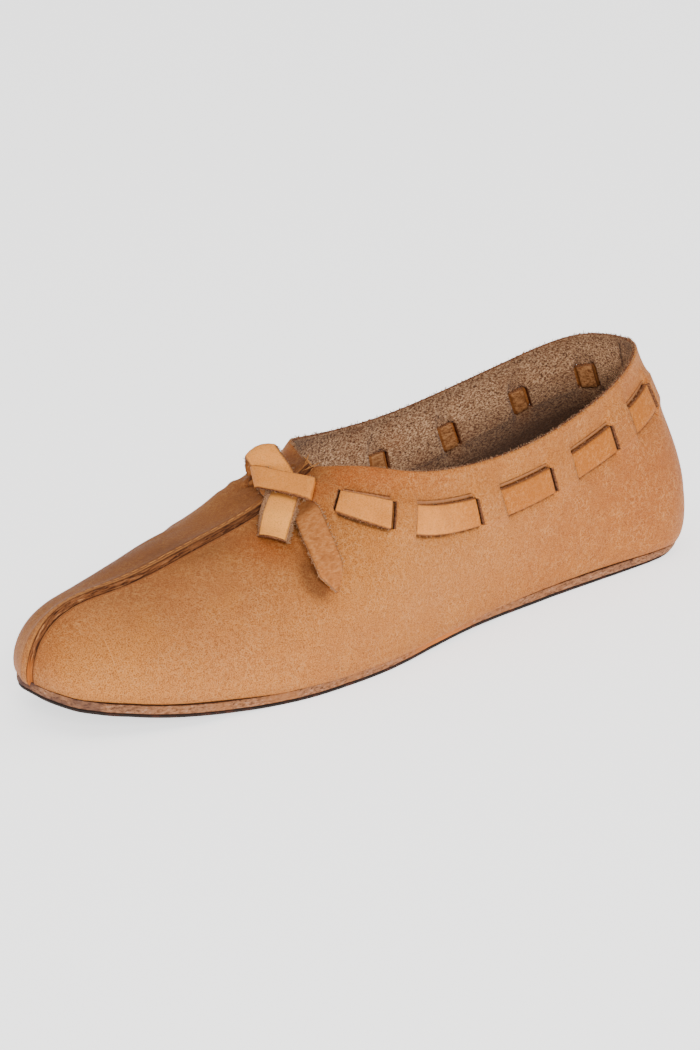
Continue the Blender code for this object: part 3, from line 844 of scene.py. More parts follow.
def leather_thong():
    """Grain side of the thong: paler and smoother than the upper, dark along its edges."""
    paint = Paint("thong_grain", PEACH)
    height, web, pores = grain_height(paint)
    cloud = paint.noise(9.0, 3.0)
    paint.lay(TAN, cloud.fade(0.45, 0.72) * 0.4)
    # Paler short end with a painted highlight across its middle.
    paint.lay(PEACH_PALE, paint.attribute("pale"))
    paint.lay(THONG_ORANGE, paint.attribute("orange"))
    paint.lay(TAN_DEEP, pores * 0.35)
    paint.lay(THONG_WORN, web * 0.3)
    paint.lay(BROWN, (1 - ragged_border(paint).fade(0.1, 0.8)) * 0.75)
    fibres = paint.noise(0.5, 3.0, 0.7)
    paint.lay(paint.mix(THONG_RAW, THONG_RAW_PALE, fibres.fade(0.42, 0.6)), paint.attribute("raw"))
    # Painted shade where the thong goes into the slits and under the knot.
    paint.lay(EDGE_DARK, paint.attribute("brown"))
    return paint.finish(0.56 + web * 0.06, 0.08, height * 0.6)


def leather_thong_flesh():
    """Flesh side of the thong: orange tan, combed by fine strokes, dark along its edges."""
    paint = Paint("thong_flesh", NAP)
    combed = paint.stretched((1.0, 0.4, 1.0), (0.0, 0.0, 0.6))
    nap = paint.noise(0.9, 4.0, 0.7, place=combed, twist=0.4)
    cloud = paint.noise(6.0, 3.0)
    inner = paint.attribute("inner")
    paint.lay(NAP_PALE, nap.fade(0.46, 0.64) * 0.6)
    paint.lay(NAP_DEEP, (1 - nap.fade(0.34, 0.48)) * 0.5)
    paint.lay(TAN_DEEP, cloud.fade(0.5, 0.7) * 0.4)
    paint.lay(paint.mix(INNER_DARK, INNER_PALE, nap.fade(0.36, 0.62)), inner * 0.75)
    paint.lay(EDGE_DARK, (1 - ragged_border(paint).fade(0.0, 0.8)) * (0.6 - inner * 0.3))
    # Painted shade where the thong goes into the slits and under the knot.
    paint.lay(EDGE_DARK, paint.attribute("brown"))
    return paint.finish(0.8, 0.12, nap * 0.15)


def thread(name, colour):
    """Twisted sewing thread or a loose fibre."""
    paint = Paint(name, colour)
    paint.lay(TAN_DEEP, paint.noise(0.5, 2.0).fade(0.45, 0.7) * 0.5)
    return paint.finish(0.7, 0.25)


GRAIN = leather_upper()
INSIDE = leather_flesh()
CUT_EDGE = leather_edge("cut_edge", EDGE_PINK, EDGE_DARK)
SLIT_EDGE = leather_edge("slit_edge", SLIT_BROWN, SLIT_DARK)
SOLE_EDGE = leather_sole()
TREAD_LAYER = rubber_outsole()
THONG_GRAIN = leather_thong()
THONG_FLESH = leather_thong_flesh()
THONG_EDGE = leather_edge("thong_cut_edge", THONG_CUT, THONG_CUT_DARK)
END_EDGE = leather_edge("thong_end_edge", END_CUT, END_CUT_DARK)
STITCH = thread("seam_thread", THREAD_GOLD)
FUZZ = thread("loose_fibre", FIBRE)
PALE_FUZZ = thread("pale_fibre", FIBRE_PALE)
SEAM_FUZZ = thread("seam_fibre", FIBRE_DARK)


def add_piece(name, points, faces, looks, materials, numbers):
    """Smooth mesh piece in the frame with a material per face and numbers on its points."""
    used = sorted({corner for face in faces for corner in face})
    place = {corner: i for i, corner in enumerate(used)}
    mesh = bpy.data.meshes.new(name)
    corners = placed(np.asarray(points)[used]).tolist()
    mesh.from_pydata(corners, [], [[place[corner] for corner in face] for face in faces])
    for material in materials:
        mesh.materials.append(material)
    mesh.polygons.foreach_set("material_index", np.asarray(looks, np.int32))
    mesh.polygons.foreach_set("use_smooth", np.ones(len(faces), bool))
    for label, values in numbers.items():
        layer = mesh.attributes.new(label, "FLOAT", "POINT")
        layer.data.foreach_set("value", np.asarray(values, np.float32).reshape(-1)[used])
    mesh.update()
    piece = add_object(name, mesh)
    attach(piece, "root")
    return piece


def without_repeats(face):
    """Face with neighbouring equal corners merged."""
    return [corner for i, corner in enumerate(face) if corner != face[i - 1]]


# Upper

# Depths of the grid rows between the top and the slits: fine at the seam's lap and the collar's edge.
SEAM_ROWS = (0.0, 0.2, 0.4, 0.7, 1.0, 1.3, 1.6, 1.9, 2.2, 2.6, 3.1, 3.8, 4.8, 6.0, 7.4, 9.0, 10.7)
SLOT_CELLS = 8
LOWER_CELLS = 42
COLUMN_STEP = 1.7
SHORT_RIB = 52.0
# Height of the lapped seam over the last at signed distances from it, the far side positive.
SEAM_PROFILE = steady_curve((
    (-3.6, 0.0), (-2.9, 0.12), (-2.3, 0.30), (-1.9, 0.18), (-1.5, -0.22), (-1.2, -0.25), (0.25, 1.25),
    (0.6, 1.42), (1.1, 1.45), (1.6, 1.32), (2.0, 1.22), (2.5, 1.28), (3.4, 1.10), (5.0, 0.62), (7.0, 0.2),
    (9.0, 0.0)))
RIM_ROUND = 0.7
RIM_STEPS = 3
# Columns at the toe are spaced like the first rows, a slit is a few columns wide, and the thong's band has
# its own offset on each kind of stretch.
TOE_ROWS = 14
SLIT_CELLS = 3
BAND_LEVELS = {"free": 0.0, "press": -THONG_PRESS, "lift": THONG_LIFT, "slit": 0.0}
# Columns are spaced on a line this share of the way down the ribs.
RULER_SHARE = 0.45
RULER_RIBS = np.linspace(0, LAST_RIB, 1301)
RULER = walked_along(last_points(RULER_RIBS, RULER_SHARE * rib_length(RULER_RIBS)))
THONG_RULER = walked_along(last_points(RULER_RIBS, thong_depth(RULER_RIBS)))


def rib_step(rib, length):
    """Change of rib that walks a length along the thong."""
    here = np.interp(rib, RULER_RIBS, THONG_RULER)
    return np.interp(here + length, THONG_RULER, RULER_RIBS) - rib


def side_columns(runs, counts=None):
    """Ribs of one side's grid columns, their band offsets, the slit columns and the columns per stretch."""
    toe = np.interp(SEAM_ROWS[:TOE_ROWS], RULER, RULER_RIBS)
    marks = [float(toe[-1])]
    levels = []
    for start, end in runs:
        marks += [start + rib_step(start, -SLOT_LONG), start, end, end + rib_step(end, SLOT_LONG)]
        levels += ["press", "slit", "lift", "slit"]
    marks.append(float(LAST_RIB))
    levels.append("press")
    levels[0] = "free"
    ribs = list(toe[:-1])
    offsets = [0.0] * len(ribs)
    slits = []
    found = []
    for first, last, level in zip(marks, marks[1:], levels):
        length = np.interp(last, RULER_RIBS, RULER) - np.interp(first, RULER_RIBS, RULER)
        count = SLIT_CELLS if level == "slit" else max(2, int(np.ceil(length / COLUMN_STEP)))
        count = counts[len(found)] if counts else count
        found.append(count)
        if level == "slit":
            slits += list(range(len(ribs), len(ribs) + count))
        walked = np.interp(first, RULER_RIBS, RULER) + length * np.arange(count) / count
        ribs += list(np.interp(walked, RULER, RULER_RIBS))
        ribs[-count] = first
        offsets += [BAND_LEVELS[level]] * count
        if level == "slit":
            offsets[-count] = -THONG_PRESS if offsets[-count - 1] <= 0 else THONG_LIFT
    return np.array(ribs), np.array(offsets), slits, found


def row_depths(ribs):
    """Depths of the grid rows on ribs, with rows on the upper and lower ends of the slits."""
    longest = rib_length(ribs)[:, None]
    middle = thong_depth(ribs)[:, None]
    short = np.minimum(1.0, longest / SHORT_RIB)
    top = np.array(SEAM_ROWS)[None] * (middle - SLOT_HALF) / SEAM_ROWS[-1] * short
    slot = (middle + SLOT_HALF * np.linspace(-1, 1, SLOT_CELLS + 1)[None, 1:]) * short
    lower = slot[:, -1:] + (longest - slot[:, -1:]) * np.arange(1, LOWER_CELLS + 1)[None] / LOWER_CELLS
    return np.concatenate([top, slot, lower], axis=1)


SIDE_RIBS, SIDE_OFFSETS, SIDE_SLITS, SIDE_COUNTS = side_columns(INSIDE_RUNS)
MEDIAL_RIBS = side_columns(MEDIAL_RUNS, SIDE_COUNTS)[0]
HALF = len(SIDE_RIBS)
COLUMNS = np.concatenate([SIDE_RIBS, [float(LAST_RIB)], RING - MEDIAL_RIBS[:0:-1]])
COLUMN_OFFSETS = np.concatenate([SIDE_OFFSETS, [-THONG_PRESS], SIDE_OFFSETS[:0:-1]])
COUNT = len(COLUMNS)
SLIT_COLUMNS = set(SIDE_SLITS) | {COUNT - 1 - i for i in SIDE_SLITS}
SLOT_FIRST = len(SEAM_ROWS) - 1
SLOT_LAST = SLOT_FIRST + SLOT_CELLS
SIDE = side_of(COLUMNS)[:, None]
MEDIAL = (COLUMNS > LAST_RIB)[:, None]
ON_SEAM = [i for i in range(HALF) if COLUMNS[i] <= THROAT_RIB + 1e-6]
# How far a column belongs to the heel, which is fuller low down than the last.
HEEL_SHARE = hump(SIDE - 12.3, 1.2)
# The band starts behind the knot and is eased out around by many small averages, each a little lower.
BAND_FROM = 5.75
EASE_TURNS = 70
EASE_KEPT = 0.965


def band_offsets(depths):
    """Offsets of the wall that is pressed under the thong and lifted over it, eased out around the band."""
    offsets = np.zeros_like(depths)
    held = np.zeros(depths.shape, bool)
    held[SIDE[:, 0] > BAND_FROM, SLOT_FIRST:SLOT_LAST + 1] = True
    for i in SLIT_COLUMNS:
        if i - 1 in SLIT_COLUMNS:
            held[i] = False
    offsets[held] = np.broadcast_to(COLUMN_OFFSETS[:, None], depths.shape)[held]
    for turn in range(EASE_TURNS):
        padded = np.pad(offsets, ((0, 0), (1, 1)), mode="edge")
        nearby = np.roll(offsets, 1, 0) + np.roll(offsets, -1, 0) + padded[:, :-2] + padded[:, 2:]
        offsets = np.where(held, offsets, 0.25 * nearby * EASE_KEPT)
    return offsets


def seam_distance(points):
    """Distance of points from the seam from the throat over the toe to the sole, and its length so far."""
    over = last_points(np.linspace(0, THROAT_RIB, 500)[::-1], 0.0)
    tip = last_points(0.0, np.linspace(0, rib_length(0.0), 120))
    line = np.concatenate([over, tip])
    walked = walked_along(line)
    flat = points.reshape(-1, 3)
    nearest = np.full(len(flat), 1e9)
    run = np.zeros(len(flat))
    chunk = 40
    for start in range(0, len(line), chunk):
        gaps = np.linalg.norm(flat[:, None] - line[None, start:start + chunk], axis=2)
        least = gaps.min(axis=1)
        run = np.where(least < nearest, walked[start + gaps.argmin(axis=1)], run)
        nearest = np.minimum(nearest, least)
    return nearest.reshape(points.shape[:2]), run.reshape(points.shape[:2])


# Bulge of the wall at distances from its foot: over the sole's edge, and at the heel.
FOOT_BULGE = steady_curve(((0.0, 0.15), (0.5, 0.55), (1.2, 0.75), (3.0, 0.65), (6.0, 0.3), (10.0, 0.0)))
HEEL_BULGE = steady_curve(((0.0, 1.7), (2.0, 1.9), (6.0, 1.6), (10.0, 1.0), (14.0, 0.4), (18.0, 0.0)))
# How far the wall hangs over the sole's edge at ribs of one side, and how high up it is pulled down.
FOOT_DROP = ((0.0, 1.2), (0.8, 0.5), (1.8, 0.0), (3.8, 0.0), (5.0, 0.7), (6.0, 1.2), (7.0, 1.4), (8.25, 2.1),
             (8.75, 1.8), (9.25, 1.1), (9.7, 0.6), (10.6, 0.0))
DROP_REACH = 9
# Soft creases: rib and depth of their ends, width and height in millimetres.
CREASES = (((6.15, 2.4), (7.9, 2.4), 2.6, 0.55), ((6.2, 8.4), (7.8, 8.6), 3.0, -0.35),
           ((4.3, 26), (5.6, 60), 7.0, -0.30), ((3.7, 30), (4.9, 64), 8.0, 0.22),
           ((3.1, 26), (4.2, 62), 7.0, -0.22), ((5.3, 20), (5.2, 34), 5.0, -0.35),
           ((9.6, 40), (10.3, 34), 5.0, -0.18), ((21.7, 24), (21.3, 36), 13.0, 0.8),
           ((20.55, 44), (20.1, 33), 8.0, -1.3), ((19.98, 31), (19.80, 26), 6.0, 0.9),
           ((23.2, 22), (25.2, 20), 10.0, 1.2))
CREASE_POINTS = 30


def crease_heights(points):
    """Heights of the soft creases over the surface."""
    heights = np.zeros(points.shape[:2])
    for (rib, depth), (last_rib, last_depth), width, height in CREASES:
        ribs = np.linspace(rib, last_rib, CREASE_POINTS)
        line = on_last(ribs, np.linspace(depth, last_depth, CREASE_POINTS))
        gaps = np.linalg.norm(points[:, :, None] - line, axis=3)
        place = gaps.argmin(axis=2) / (CREASE_POINTS - 1)
        heights += height * hump(gaps.min(axis=2), width) * np.sin(np.pi * (0.1 + 0.8 * place))
    return heights


def spots(points, table):
    """Soft round patches on the surface, as rows of rib, depth below the top, reach and strength."""
    return sum(strength * hump(np.linalg.norm(points - on_last(rib, depth), axis=2), reach)
               for rib, depth, reach, strength in table)


ORANGE_SPOTS = ((4.72, 12, 9, 0.75), (5.0, 20, 8, 0.65), (5.4, 6, 8, 0.4), (6.6, 2, 9, 0.65),
                (7.1, 2, 9, 0.6), (7.6, 1, 9, 0.5), (8.2, 1, 9, 0.35), (6.3, 8, 7, 0.4), (3.2, 6, 12, 0.25),
                (1.4, 4, 9, 0.4), (0.6, 8, 7, 0.4), (12.1, 42, 28, 0.7), (11.0, 38, 22, 0.5),
                (9.9, 36, 20, 0.25), (11.4, 4, 10, 0.3), (20.3, 8, 10, 0.5), (19.6, 4, 8, 0.5))
PALE_SPOTS = ((1.5, 24, 18, 0.5), (7.4, 26, 10, 0.35), (2.2, 40, 20, 0.5), (3.6, 62, 20, 0.45),
              (5.2, 72, 20, 0.4), (7.6, 40, 22, 0.5), (8.6, 34, 22, 0.45), (9.6, 30, 18, 0.3),
              (6.4, 50, 18, 0.4))
# Brown patches of painted shade beside the knot and along the lateral seam, a painted shadow along the left
# of the lifted long end, and painted shade on the medial face at the throat: rib, depth, reach and strength.
PAINTED_SHADE_SPOTS = ((4.0, 5, 14, 0.35), (5.2, 14, 9, 0.3), (3.0, 10, 12, 0.22), (5.0, 7, 7, 0.3), (4.4, 8, 8, 0.2),
               (5.40, 29.5, 3, 0.45), (5.48, 35.9, 3.4, 0.7), (5.58, 41.5, 3.8, 0.85), (5.68, 46.3, 4.0, 0.9),
               (5.80, 50.3, 3.6, 0.75), (19.9, 5, 9, 0.85), (20.4, 12, 12, 0.5))
# A distance that lies outside every band that the upper's grain side is painted by.
FAR_OFF = 30.0
# The painted shade lines beside the thong start behind this rib.
MARKS_FROM = 6.2
# Painted shade: the medial side, which faces away from the light, is brown around this rib, and the lateral
# side this far before the seam.
MEDIAL_SHADE_RIB = 3.6
MEDIAL_SHADE_REACH = 4.4
SEAM_SHADE_OFF = 3
SEAM_SHADE_REACH = 5
# Inside: a dark line down the heel, the depths between which painted shade deepens the wall towards the sole,
# and the reach of painted shade under the rim.
HEEL_LINE_AT = 0.04
HEEL_LINE_WIDE = 0.5
HEEL_LINE_REACH = 30
HEEL_LINE_DEPTHS = (2, 26)
SHADE_FROM = 15
SHADE_LENGTH = 18
RIM_SHADE = 3.5


def upper_shape(depths, base, normals, seam, foot):
    """Points of the upper: outside, inside and the frayed strips of its rim."""
    offsets = band_offsets(depths)
    behind = ramp(SIDE, THROAT_RIB, 0.25)
    rolled = np.clip(RIM_ROUND - depths, 0, RIM_ROUND)
    rim = -(RIM_ROUND - np.sqrt(RIM_ROUND ** 2 - rolled ** 2)) * behind * 0.9
    drop = along_rows(FOOT_DROP, SIDE) * np.where(MEDIAL, 0.5, 1.0)
    bulge = FOOT_BULGE(foot) * np.clip(0.35 + SIDE / 3, 0, 1) * (1 + 0.35 * drop)
    bulge = bulge + HEEL_BULGE(foot) * HEEL_SHARE
    outer = base + normals * (offsets + SEAM_PROFILE(seam) + rim + bulge + crease_heights(base))[..., None]
    outer[..., 2] -= drop * np.clip(1 - foot / DROP_REACH, 0, 1) ** 1.5
    inner = base + normals * (offsets - WALL + 0.3 * np.clip(1 - depths / 0.8, 0, 1) * behind)[..., None]
    inner[:, -1, 2] = outer[:, -1, 2]
    upwards = unit(base[:, 0] - base[:, 2])
    arc = walked_along(base[:, 0])
    strips = []
    for step in range(1, RIM_STEPS):
        part = step / RIM_STEPS
        rough = 0.22 * wander(arc, 3.1, 10 + step) + 0.16 * wander(arc, 1.3, 20 + step) + 0.18
        strips.append(outer[:, 0] * (1 - part) + inner[:, 0] * part + upwards * rough[:, None])
    return np.concatenate([outer.reshape(-1, 3), inner.reshape(-1, 3)] + strips)


def upper_faces(rows):
    """Faces of the upper and their looks: 0 outside, 1 inside, 2 cut edges, 3 walls of the slits."""
    total = COUNT * rows
    outside = list(range(total))
    inside = list(range(total, 2 * total))
    faces = []
    looks = []
    edges = set()

    def at(i, j):
        return (i % COUNT) * rows + j

    def put(face, look):
        face = without_repeats(face)
        if len(face) > 2 and len(set(face)) == len(face):
            faces.append(face)
            looks.append(look)

    def over_rim(corner):
        place = corner // rows
        strips = [2 * total + step * COUNT + place for step in range(RIM_STEPS - 1)]
        if place == ON_SEAM[-1]:
            strips = [corner] * len(strips)
        return [corner] + strips + [inside[corner]]

    for i in ON_SEAM[1:]:
        outside[at(-i, 0)] = at(i, 0)
        inside[at(-i, 0)] = inside[at(i, 0)]
    for i in range(COUNT):
        for j in range(rows - 1):
            if i in SLIT_COLUMNS and SLOT_FIRST <= j < SLOT_LAST:
                continue
            face = [at(i, j), at(i, j + 1), at(i + 1, j + 1), at(i + 1, j)]
            corners = [outside[corner] for corner in face]
            put(corners, 0)
            put([inside[corner] for corner in reversed(face)], 1)
            edges.update(zip(corners, corners[1:] + corners[:1]))
    for first, second in edges:
        if (second, first) in edges or first == second:
            continue
        low, high = sorted((first % rows, second % rows))
        if high == 0:
            start = over_rim(second)
            end = over_rim(first)
            for step in range(RIM_STEPS):
                put([start[step], end[step], end[step + 1], start[step + 1]], 2)
        else:
            in_slit = SLOT_FIRST <= low and high <= SLOT_LAST
            put([second, first, inside[first], inside[second]], 3 if in_slit else 2)
    return faces, looks


def upper_numbers(depths, base, seam, run, foot):
    """Numbers on the upper's points that its materials paint by."""
    orange = spots(base, ORANGE_SPOTS)
    pale = spots(base, PALE_SPOTS)
    brown = spots(base, PAINTED_SHADE_SPOTS)
    # Painted shade on the medial side and on the lateral side beside the seam.
    near_rib = np.clip(1 - np.abs(SIDE - MEDIAL_SHADE_RIB) / MEDIAL_SHADE_REACH, 0, 1)
    brown += np.where(MEDIAL, 0.8 * near_rib, 0)
    brown += 0.25 * hump(np.minimum(seam + SEAM_SHADE_OFF, 0), SEAM_SHADE_REACH) * (seam < 0)
    along, across = np.moveaxis(base, -1, 0)[:2]
    heel_line = hump(across - seam_centre(HEEL_LINE_AT), HEEL_LINE_WIDE) * (along < HEEL_LINE_REACH)
    heel_line *= (depths > HEEL_LINE_DEPTHS[0]) * (depths < HEEL_LINE_DEPTHS[1])
    lies_out = (COLUMN_OFFSETS < 0)[:, None] & (SIDE > MARKS_FROM)
    # Painted shade inside: deeper towards the sole and a little just under the rim.
    inner_shade = ramp(depths, SHADE_FROM, SHADE_LENGTH) * 0.88 + 0.4 * hump(depths, RIM_SHADE)
    none = np.zeros_like(foot)
    sides = {
        "seam": (seam, none + FAR_OFF),
        "run": (run, run),
        "foot": (foot, none + FAR_OFF),
        "thong_off": (depths - thong_depth(COLUMNS)[:, None], none + FAR_OFF),
        "thong_out": (none + lies_out, none),
        "orange": (np.clip(orange, 0, 1), none),
        "pale": (np.clip(pale, 0, 0.8), none),
        "brown": (np.clip(brown, 0, 0.9), np.clip(0.8 * heel_line + inner_shade, 0, 0.9)),
    }
    on_rim = np.zeros((RIM_STEPS - 1) * COUNT)
    return {label: np.concatenate([outside.reshape(-1), inside.reshape(-1), on_rim])
            for label, (outside, inside) in sides.items()}


def build_upper():
    """Hollow upper: lapped seam, slits, rolled and frayed collar, rough inside, open underneath."""
    depths = row_depths(COLUMNS)
    ribs = leaning(COLUMNS[:, None], depths)
    base = last_points(ribs, depths)
    normals = last_normals(ribs, depths)
    for i in ON_SEAM[1:]:
        normals[i, 0] = normals[COUNT - i, 0] = unit(normals[i, 0] + normals[COUNT - i, 0])
    foot = depths[:, -1:] - depths
    far, run = seam_distance(base)
    seam = np.where(MEDIAL, 1, -1) * far
    points = upper_shape(depths, base, normals, seam, foot)
    faces, looks = upper_faces(depths.shape[1])
    numbers = upper_numbers(depths, base, seam, run, foot)
    piece = add_piece("upper_leather_shell", points, faces, looks,
                      [GRAIN, INSIDE, CUT_EDGE, SLIT_EDGE], numbers)
    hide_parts("upper")


build_upper()


# Sole layers

SOLE_ARC = walked_along(sole_point(COLUMNS))
# Stains along the sole, places and reaches: orange waist, tan middle, grey tip and grey heel side.
WAIST = (136, 15)
TAN_MIDDLE = (165, 55)
GREY_TIP = (250, 22)
GREY_HEEL = (35, 16)
INSOLE_SHADE = 0.35


def build_layer(name, profile, material, stains=None):
    """Plate that follows the sole's outline; rows of lift, inset and uneven inset run up its edge."""
    rings = [outline_point(COLUMNS, np.full(COUNT, inset) + uneven, lift) for lift, inset, uneven in profile]
    faces = []
    for ring in range(len(rings) - 1):
        for i in range(COUNT):
            ahead = (i + 1) % COUNT
            faces.append([ring * COUNT + i, ring * COUNT + ahead,
                          (ring + 1) * COUNT + ahead, (ring + 1) * COUNT + i])
    last = (len(rings) - 1) * COUNT
    for i in range(HALF):
        strip = without_repeats([i, i + 1, (COUNT - i - 1) % COUNT, (COUNT - i) % COUNT])
        if len(set(strip)) > 2:
            faces.append(strip[::-1])
            faces.append([last + corner for corner in strip])
    points = np.concatenate(rings)
    numbers = {"lift": np.repeat([row[0] for row in profile], COUNT)}
    if stains:
        numbers.update(stains(points))
    return add_piece(name, points, faces, [0] * len(faces), [material], numbers)


def sole_stains(points):
    """Numbers on the sole: orange in the waist, away from the tan middle, and grey."""
    along, across = points.T[:2]
    orange = 0.9 * hump(along - WAIST[0], WAIST[1]) * (across > 0)
    heel = np.clip(np.abs(along - TAN_MIDDLE[0]) / TAN_MIDDLE[1] - 0.9, 0, 1)
    tip = 0.9 * ramp(along, *GREY_TIP) + 0.25 * hump(along - GREY_HEEL[0], GREY_HEEL[1])
    return {"orange": np.clip(orange, 0, 1), "heel": heel, "tip": tip}


def insole_stains(points):
    """Even shade of the insole."""
    return {"brown": np.full(len(points), INSOLE_SHADE)}


def build_soles():
    """Leather sole with a raw edge, thin dark tread under it, rough insole inside."""
    uneven = 0.16 * wander(SOLE_ARC, 37.0, 3) + 0.07 * wander(SOLE_ARC, 6.0, 4)
    proud = -0.45 * hump(SIDE[:, 0], 1.8)
    low = OUTSOLE_THICK + JOINT_GAP
    high = low + SOLE_THICK
    heel = HEEL_SHARE[:, 0]
    edge = uneven + proud - 1.6 * heel
    profile = [(low, 0.30, edge + 1.3 * heel), (low + 0.25, 0.08, edge + 1.05 * heel),
               (low + 0.9, 0.0, edge + 0.6 * heel), (low + 1.7, -0.05, edge + 0.2 * heel),
               (high - 0.6, 0.0, edge), (high - 0.2, 0.08, edge), (high, 0.35, edge), (high, 3.0, 0.0)]
    sole = build_layer("sole_leather_layer", profile, SOLE_EDGE, sole_stains)
    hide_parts("sole")
    worn = 0.5 * (uneven + proud) + 0.05
    top = OUTSOLE_THICK
    profile = [(0.0, 1.0, 1.2 * heel), (0.02, 0.5, worn + 1.1 * heel), (0.3, 0.2, worn + 0.5 * heel),
               (top - 0.2, 0.1, worn), (top + 0.1, 0.3, worn), (top + 0.2, 1.5, 0.0)]
    tread = build_layer("outsole_tread_layer", profile, TREAD_LAYER)
    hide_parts("outsole")
    top = FEATHER_LIFT + INSOLE_THICK
    profile = [(FEATHER_LIFT, INSOLE_INSET, 0.0), (top - 0.5, INSOLE_INSET, 0.0),
               (top - 0.1, INSOLE_INSET + 0.2, 0.0), (top, INSOLE_INSET + 0.8, 0.0)]
    insole = build_layer("insole_rough_layer", profile, INSIDE, insole_stains)
    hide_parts("insole")


build_soles()


# Thong

OUTSIDE_OFFSET = -THONG_PRESS + THONG_CLEAR + THONG_THICK / 2
INSIDE_OFFSET = THONG_LIFT - WALL - THONG_CLEAR - THONG_THICK / 2
THONG_STEP = 0.4
STRAP_FINER = 1.5
JOIN = 9
# Share of a slit's length that the thong covers before it dips, at a run's slit nearer the throat and nearer
# the heel, and where its dip ends.
NEAR_COVER = 0.25
FAR_COVER = 0.62
DIP_END = 0.94
# Corners of the thong's section as shares of its half width and half thickness, round from the grain side.
SECTION = ((-0.965, 0.72), (-0.90, 0.96), (-0.6, 1.0), (-0.2, 1.02), (0.2, 1.02), (0.6, 1.0), (0.90, 0.96),
           (0.965, 0.72), (1.0, 0.2), (1.0, -0.45), (0.96, -0.95), (0.6, -1.0), (0.2, -1.0), (-0.2, -1.0),
           (-0.6, -1.0), (-0.96, -0.95), (-1.0, -0.45), (-1.0, 0.2))
SECTION_LOOKS = (0,) * 7 + (2,) * 3 + (1,) * 5 + (2,) * 3
# Corners of the cut edges, whose line is ragged, with seeds of their waves.
RAGGED_CORNERS = ((range(7, 11), 31), (range(15, 19), 33))
# How far each corner moves out where an edge is cut on a slant.
SKIVE = (0.0,) * 8 + (0.25, 0.65, 1.0) + (0.0,) * 7

# The knot's own axes: towards the toe along the seam, towards the lateral side, and away from the vamp.
KNOT_RIB = 5.5
KNOT_CENTRE = on_last(KNOT_RIB, 0.0)
KNOT_TOE = unit(on_last(KNOT_RIB - 0.3, 0.0) - on_last(KNOT_RIB + 0.3, 0.0))
KNOT_OUT = unit(np.cross(KNOT_TOE, (0.0, 1.0, 0.0)))
KNOT_SIDE = np.cross(KNOT_OUT, KNOT_TOE)

# Both edges of the straps in the knot's axes. The front strap comes out of the lateral slit, crosses over the
# back strap, folds round it and returns under it; the back strap arches out of the medial slit and dives
# under.
FRONT_STRAP = (
    ((-7.6, 7.3, 0.2), (0.9, 12.8, 0.0)),
    ((-7.0, 7.7, 2.2), (1.6, 13.1, 1.4)),
    ((-5.6, 11.0, 4.5), (2.9, 16.2, 3.0)),
    ((-3.7, 7.4, 5.9), (4.1, 12.0, 4.3)),
    ((-1.0, 1.5, 7.8), (5.6, 6.0, 5.2)),
    ((0.4, -6.0, 8.6), (6.2, -0.2, 5.0)),
    ((0.9, -10.4, 8.2), (6.2, -4.0, 4.5)),
    ((0.4, -12.0, 6.6), (5.5, -6.0, 2.9)),
    ((0.4, -10.6, 4.8), (5.6, -4.8, 1.4)),
    ((0.6, -3.0, 2.8), (8.2, 1.5, 1.0)),
    ((0.8, 6.0, 1.5), (10.0, 8.0, 0.7)),
)
BACK_STRAP = (
    ((-6.1, -7.6, 0.3), (0.4, -17.2, 0.0)),
    ((-8.0, -8.2, 3.6), (-0.4, -18.3, 2.8)),
    ((-9.6, -8.6, 7.4), (-1.0, -17.6, 6.4)),
    ((-8.4, -7.2, 10.0), (0.4, -14.2, 9.0)),
    ((-6.5, -2.0, 8.6), (2.0, -9.4, 6.6)),
    ((-4.8, 2.6, 5.8), (3.8, -4.6, 4.2)),
    ((-1.6, 8.4, 3.6), (5.0, -0.6, 3.2)),
    ((3.0, 12.4, 2.6), (5.8, 1.6, 3.6)),
    ((10.8, 17.0, 1.4), (13.6, 6.0, 3.0)),
    ((19.4, 21.9, -0.5), (22.0, 11.3, 0.7)),
)
# The long end goes on from the front strap: rib, depth and lift of both edges.
LONG_END = (
    ((5.86, 17.5, 1.2), (5.43, 16.5, 2.0)),
    ((5.96, 26.0, 1.3), (5.48, 26.0, 3.6)),
    ((6.08, 35.0, 1.4), (5.56, 36.3, 4.6)),
    ((6.20, 42.4, 1.7), (5.66, 44.4, 4.6)),
    ((6.31, 49.6, 2.0), (5.77, 51.6, 3.9)),
)
# The long end's tip is cut to a point: how far before it either edge's cut starts, and what is left of it.
TIP_CUTS = (8.4, 7.0)
TIP_LEFT = 0.4
# Bow across the back strap at its rows.
BACK_BOW = (0.0, 0.3, 1.4, 2.0, 1.2, 0.4, 0.2, 0.5, 1.1, 0.9)
# Slant of one cut edge of the short and the long end at their rows, as a share of the half width.
BACK_SKIVE = (0.0,) * 6 + (0.3, 0.55, 0.42, 0.2)
LONG_SKIVE = (0.1, 0.18, 0.2, 0.2, 0.15)
# Lengths of the long and the short end, whose cut edges are paler.
LONG_LENGTH = 42
SHORT_LENGTH = 24
# Shares of the way in at which the thong starts to turn, is past its lip, is nearly in, is wholly in, and
# no longer turns.
TURN_FROM = 0.01
PAST_LIP = 0.1
NEARLY_IN = 0.72
WHOLLY_IN = 0.97
TURN_TO = 0.98
# Sections darkened by painted shade into the slits beside the knot, before and behind the woven course.
DARK_BEFORE = 14
DARK_BEHIND = 16
# Lengths from either tip: painted shade of the fold and of the knot, and the painted highlight on the pale
# middle of the short end.
FOLD_SHADE = 17.8
KNOT_SHADE = 34
PALE_MIDDLE = 6.5
# The heel's stretch is orange: how far after the start and before the end that sets in and is full.
ORANGE_AFTER = (48, 26)
ORANGE_BEFORE = (60, 60)


def knot_point(place):
    """Point from its three distances along the knot's axes."""
    return KNOT_CENTRE + place[0] * KNOT_TOE + place[1] * KNOT_SIDE + place[2] * KNOT_OUT


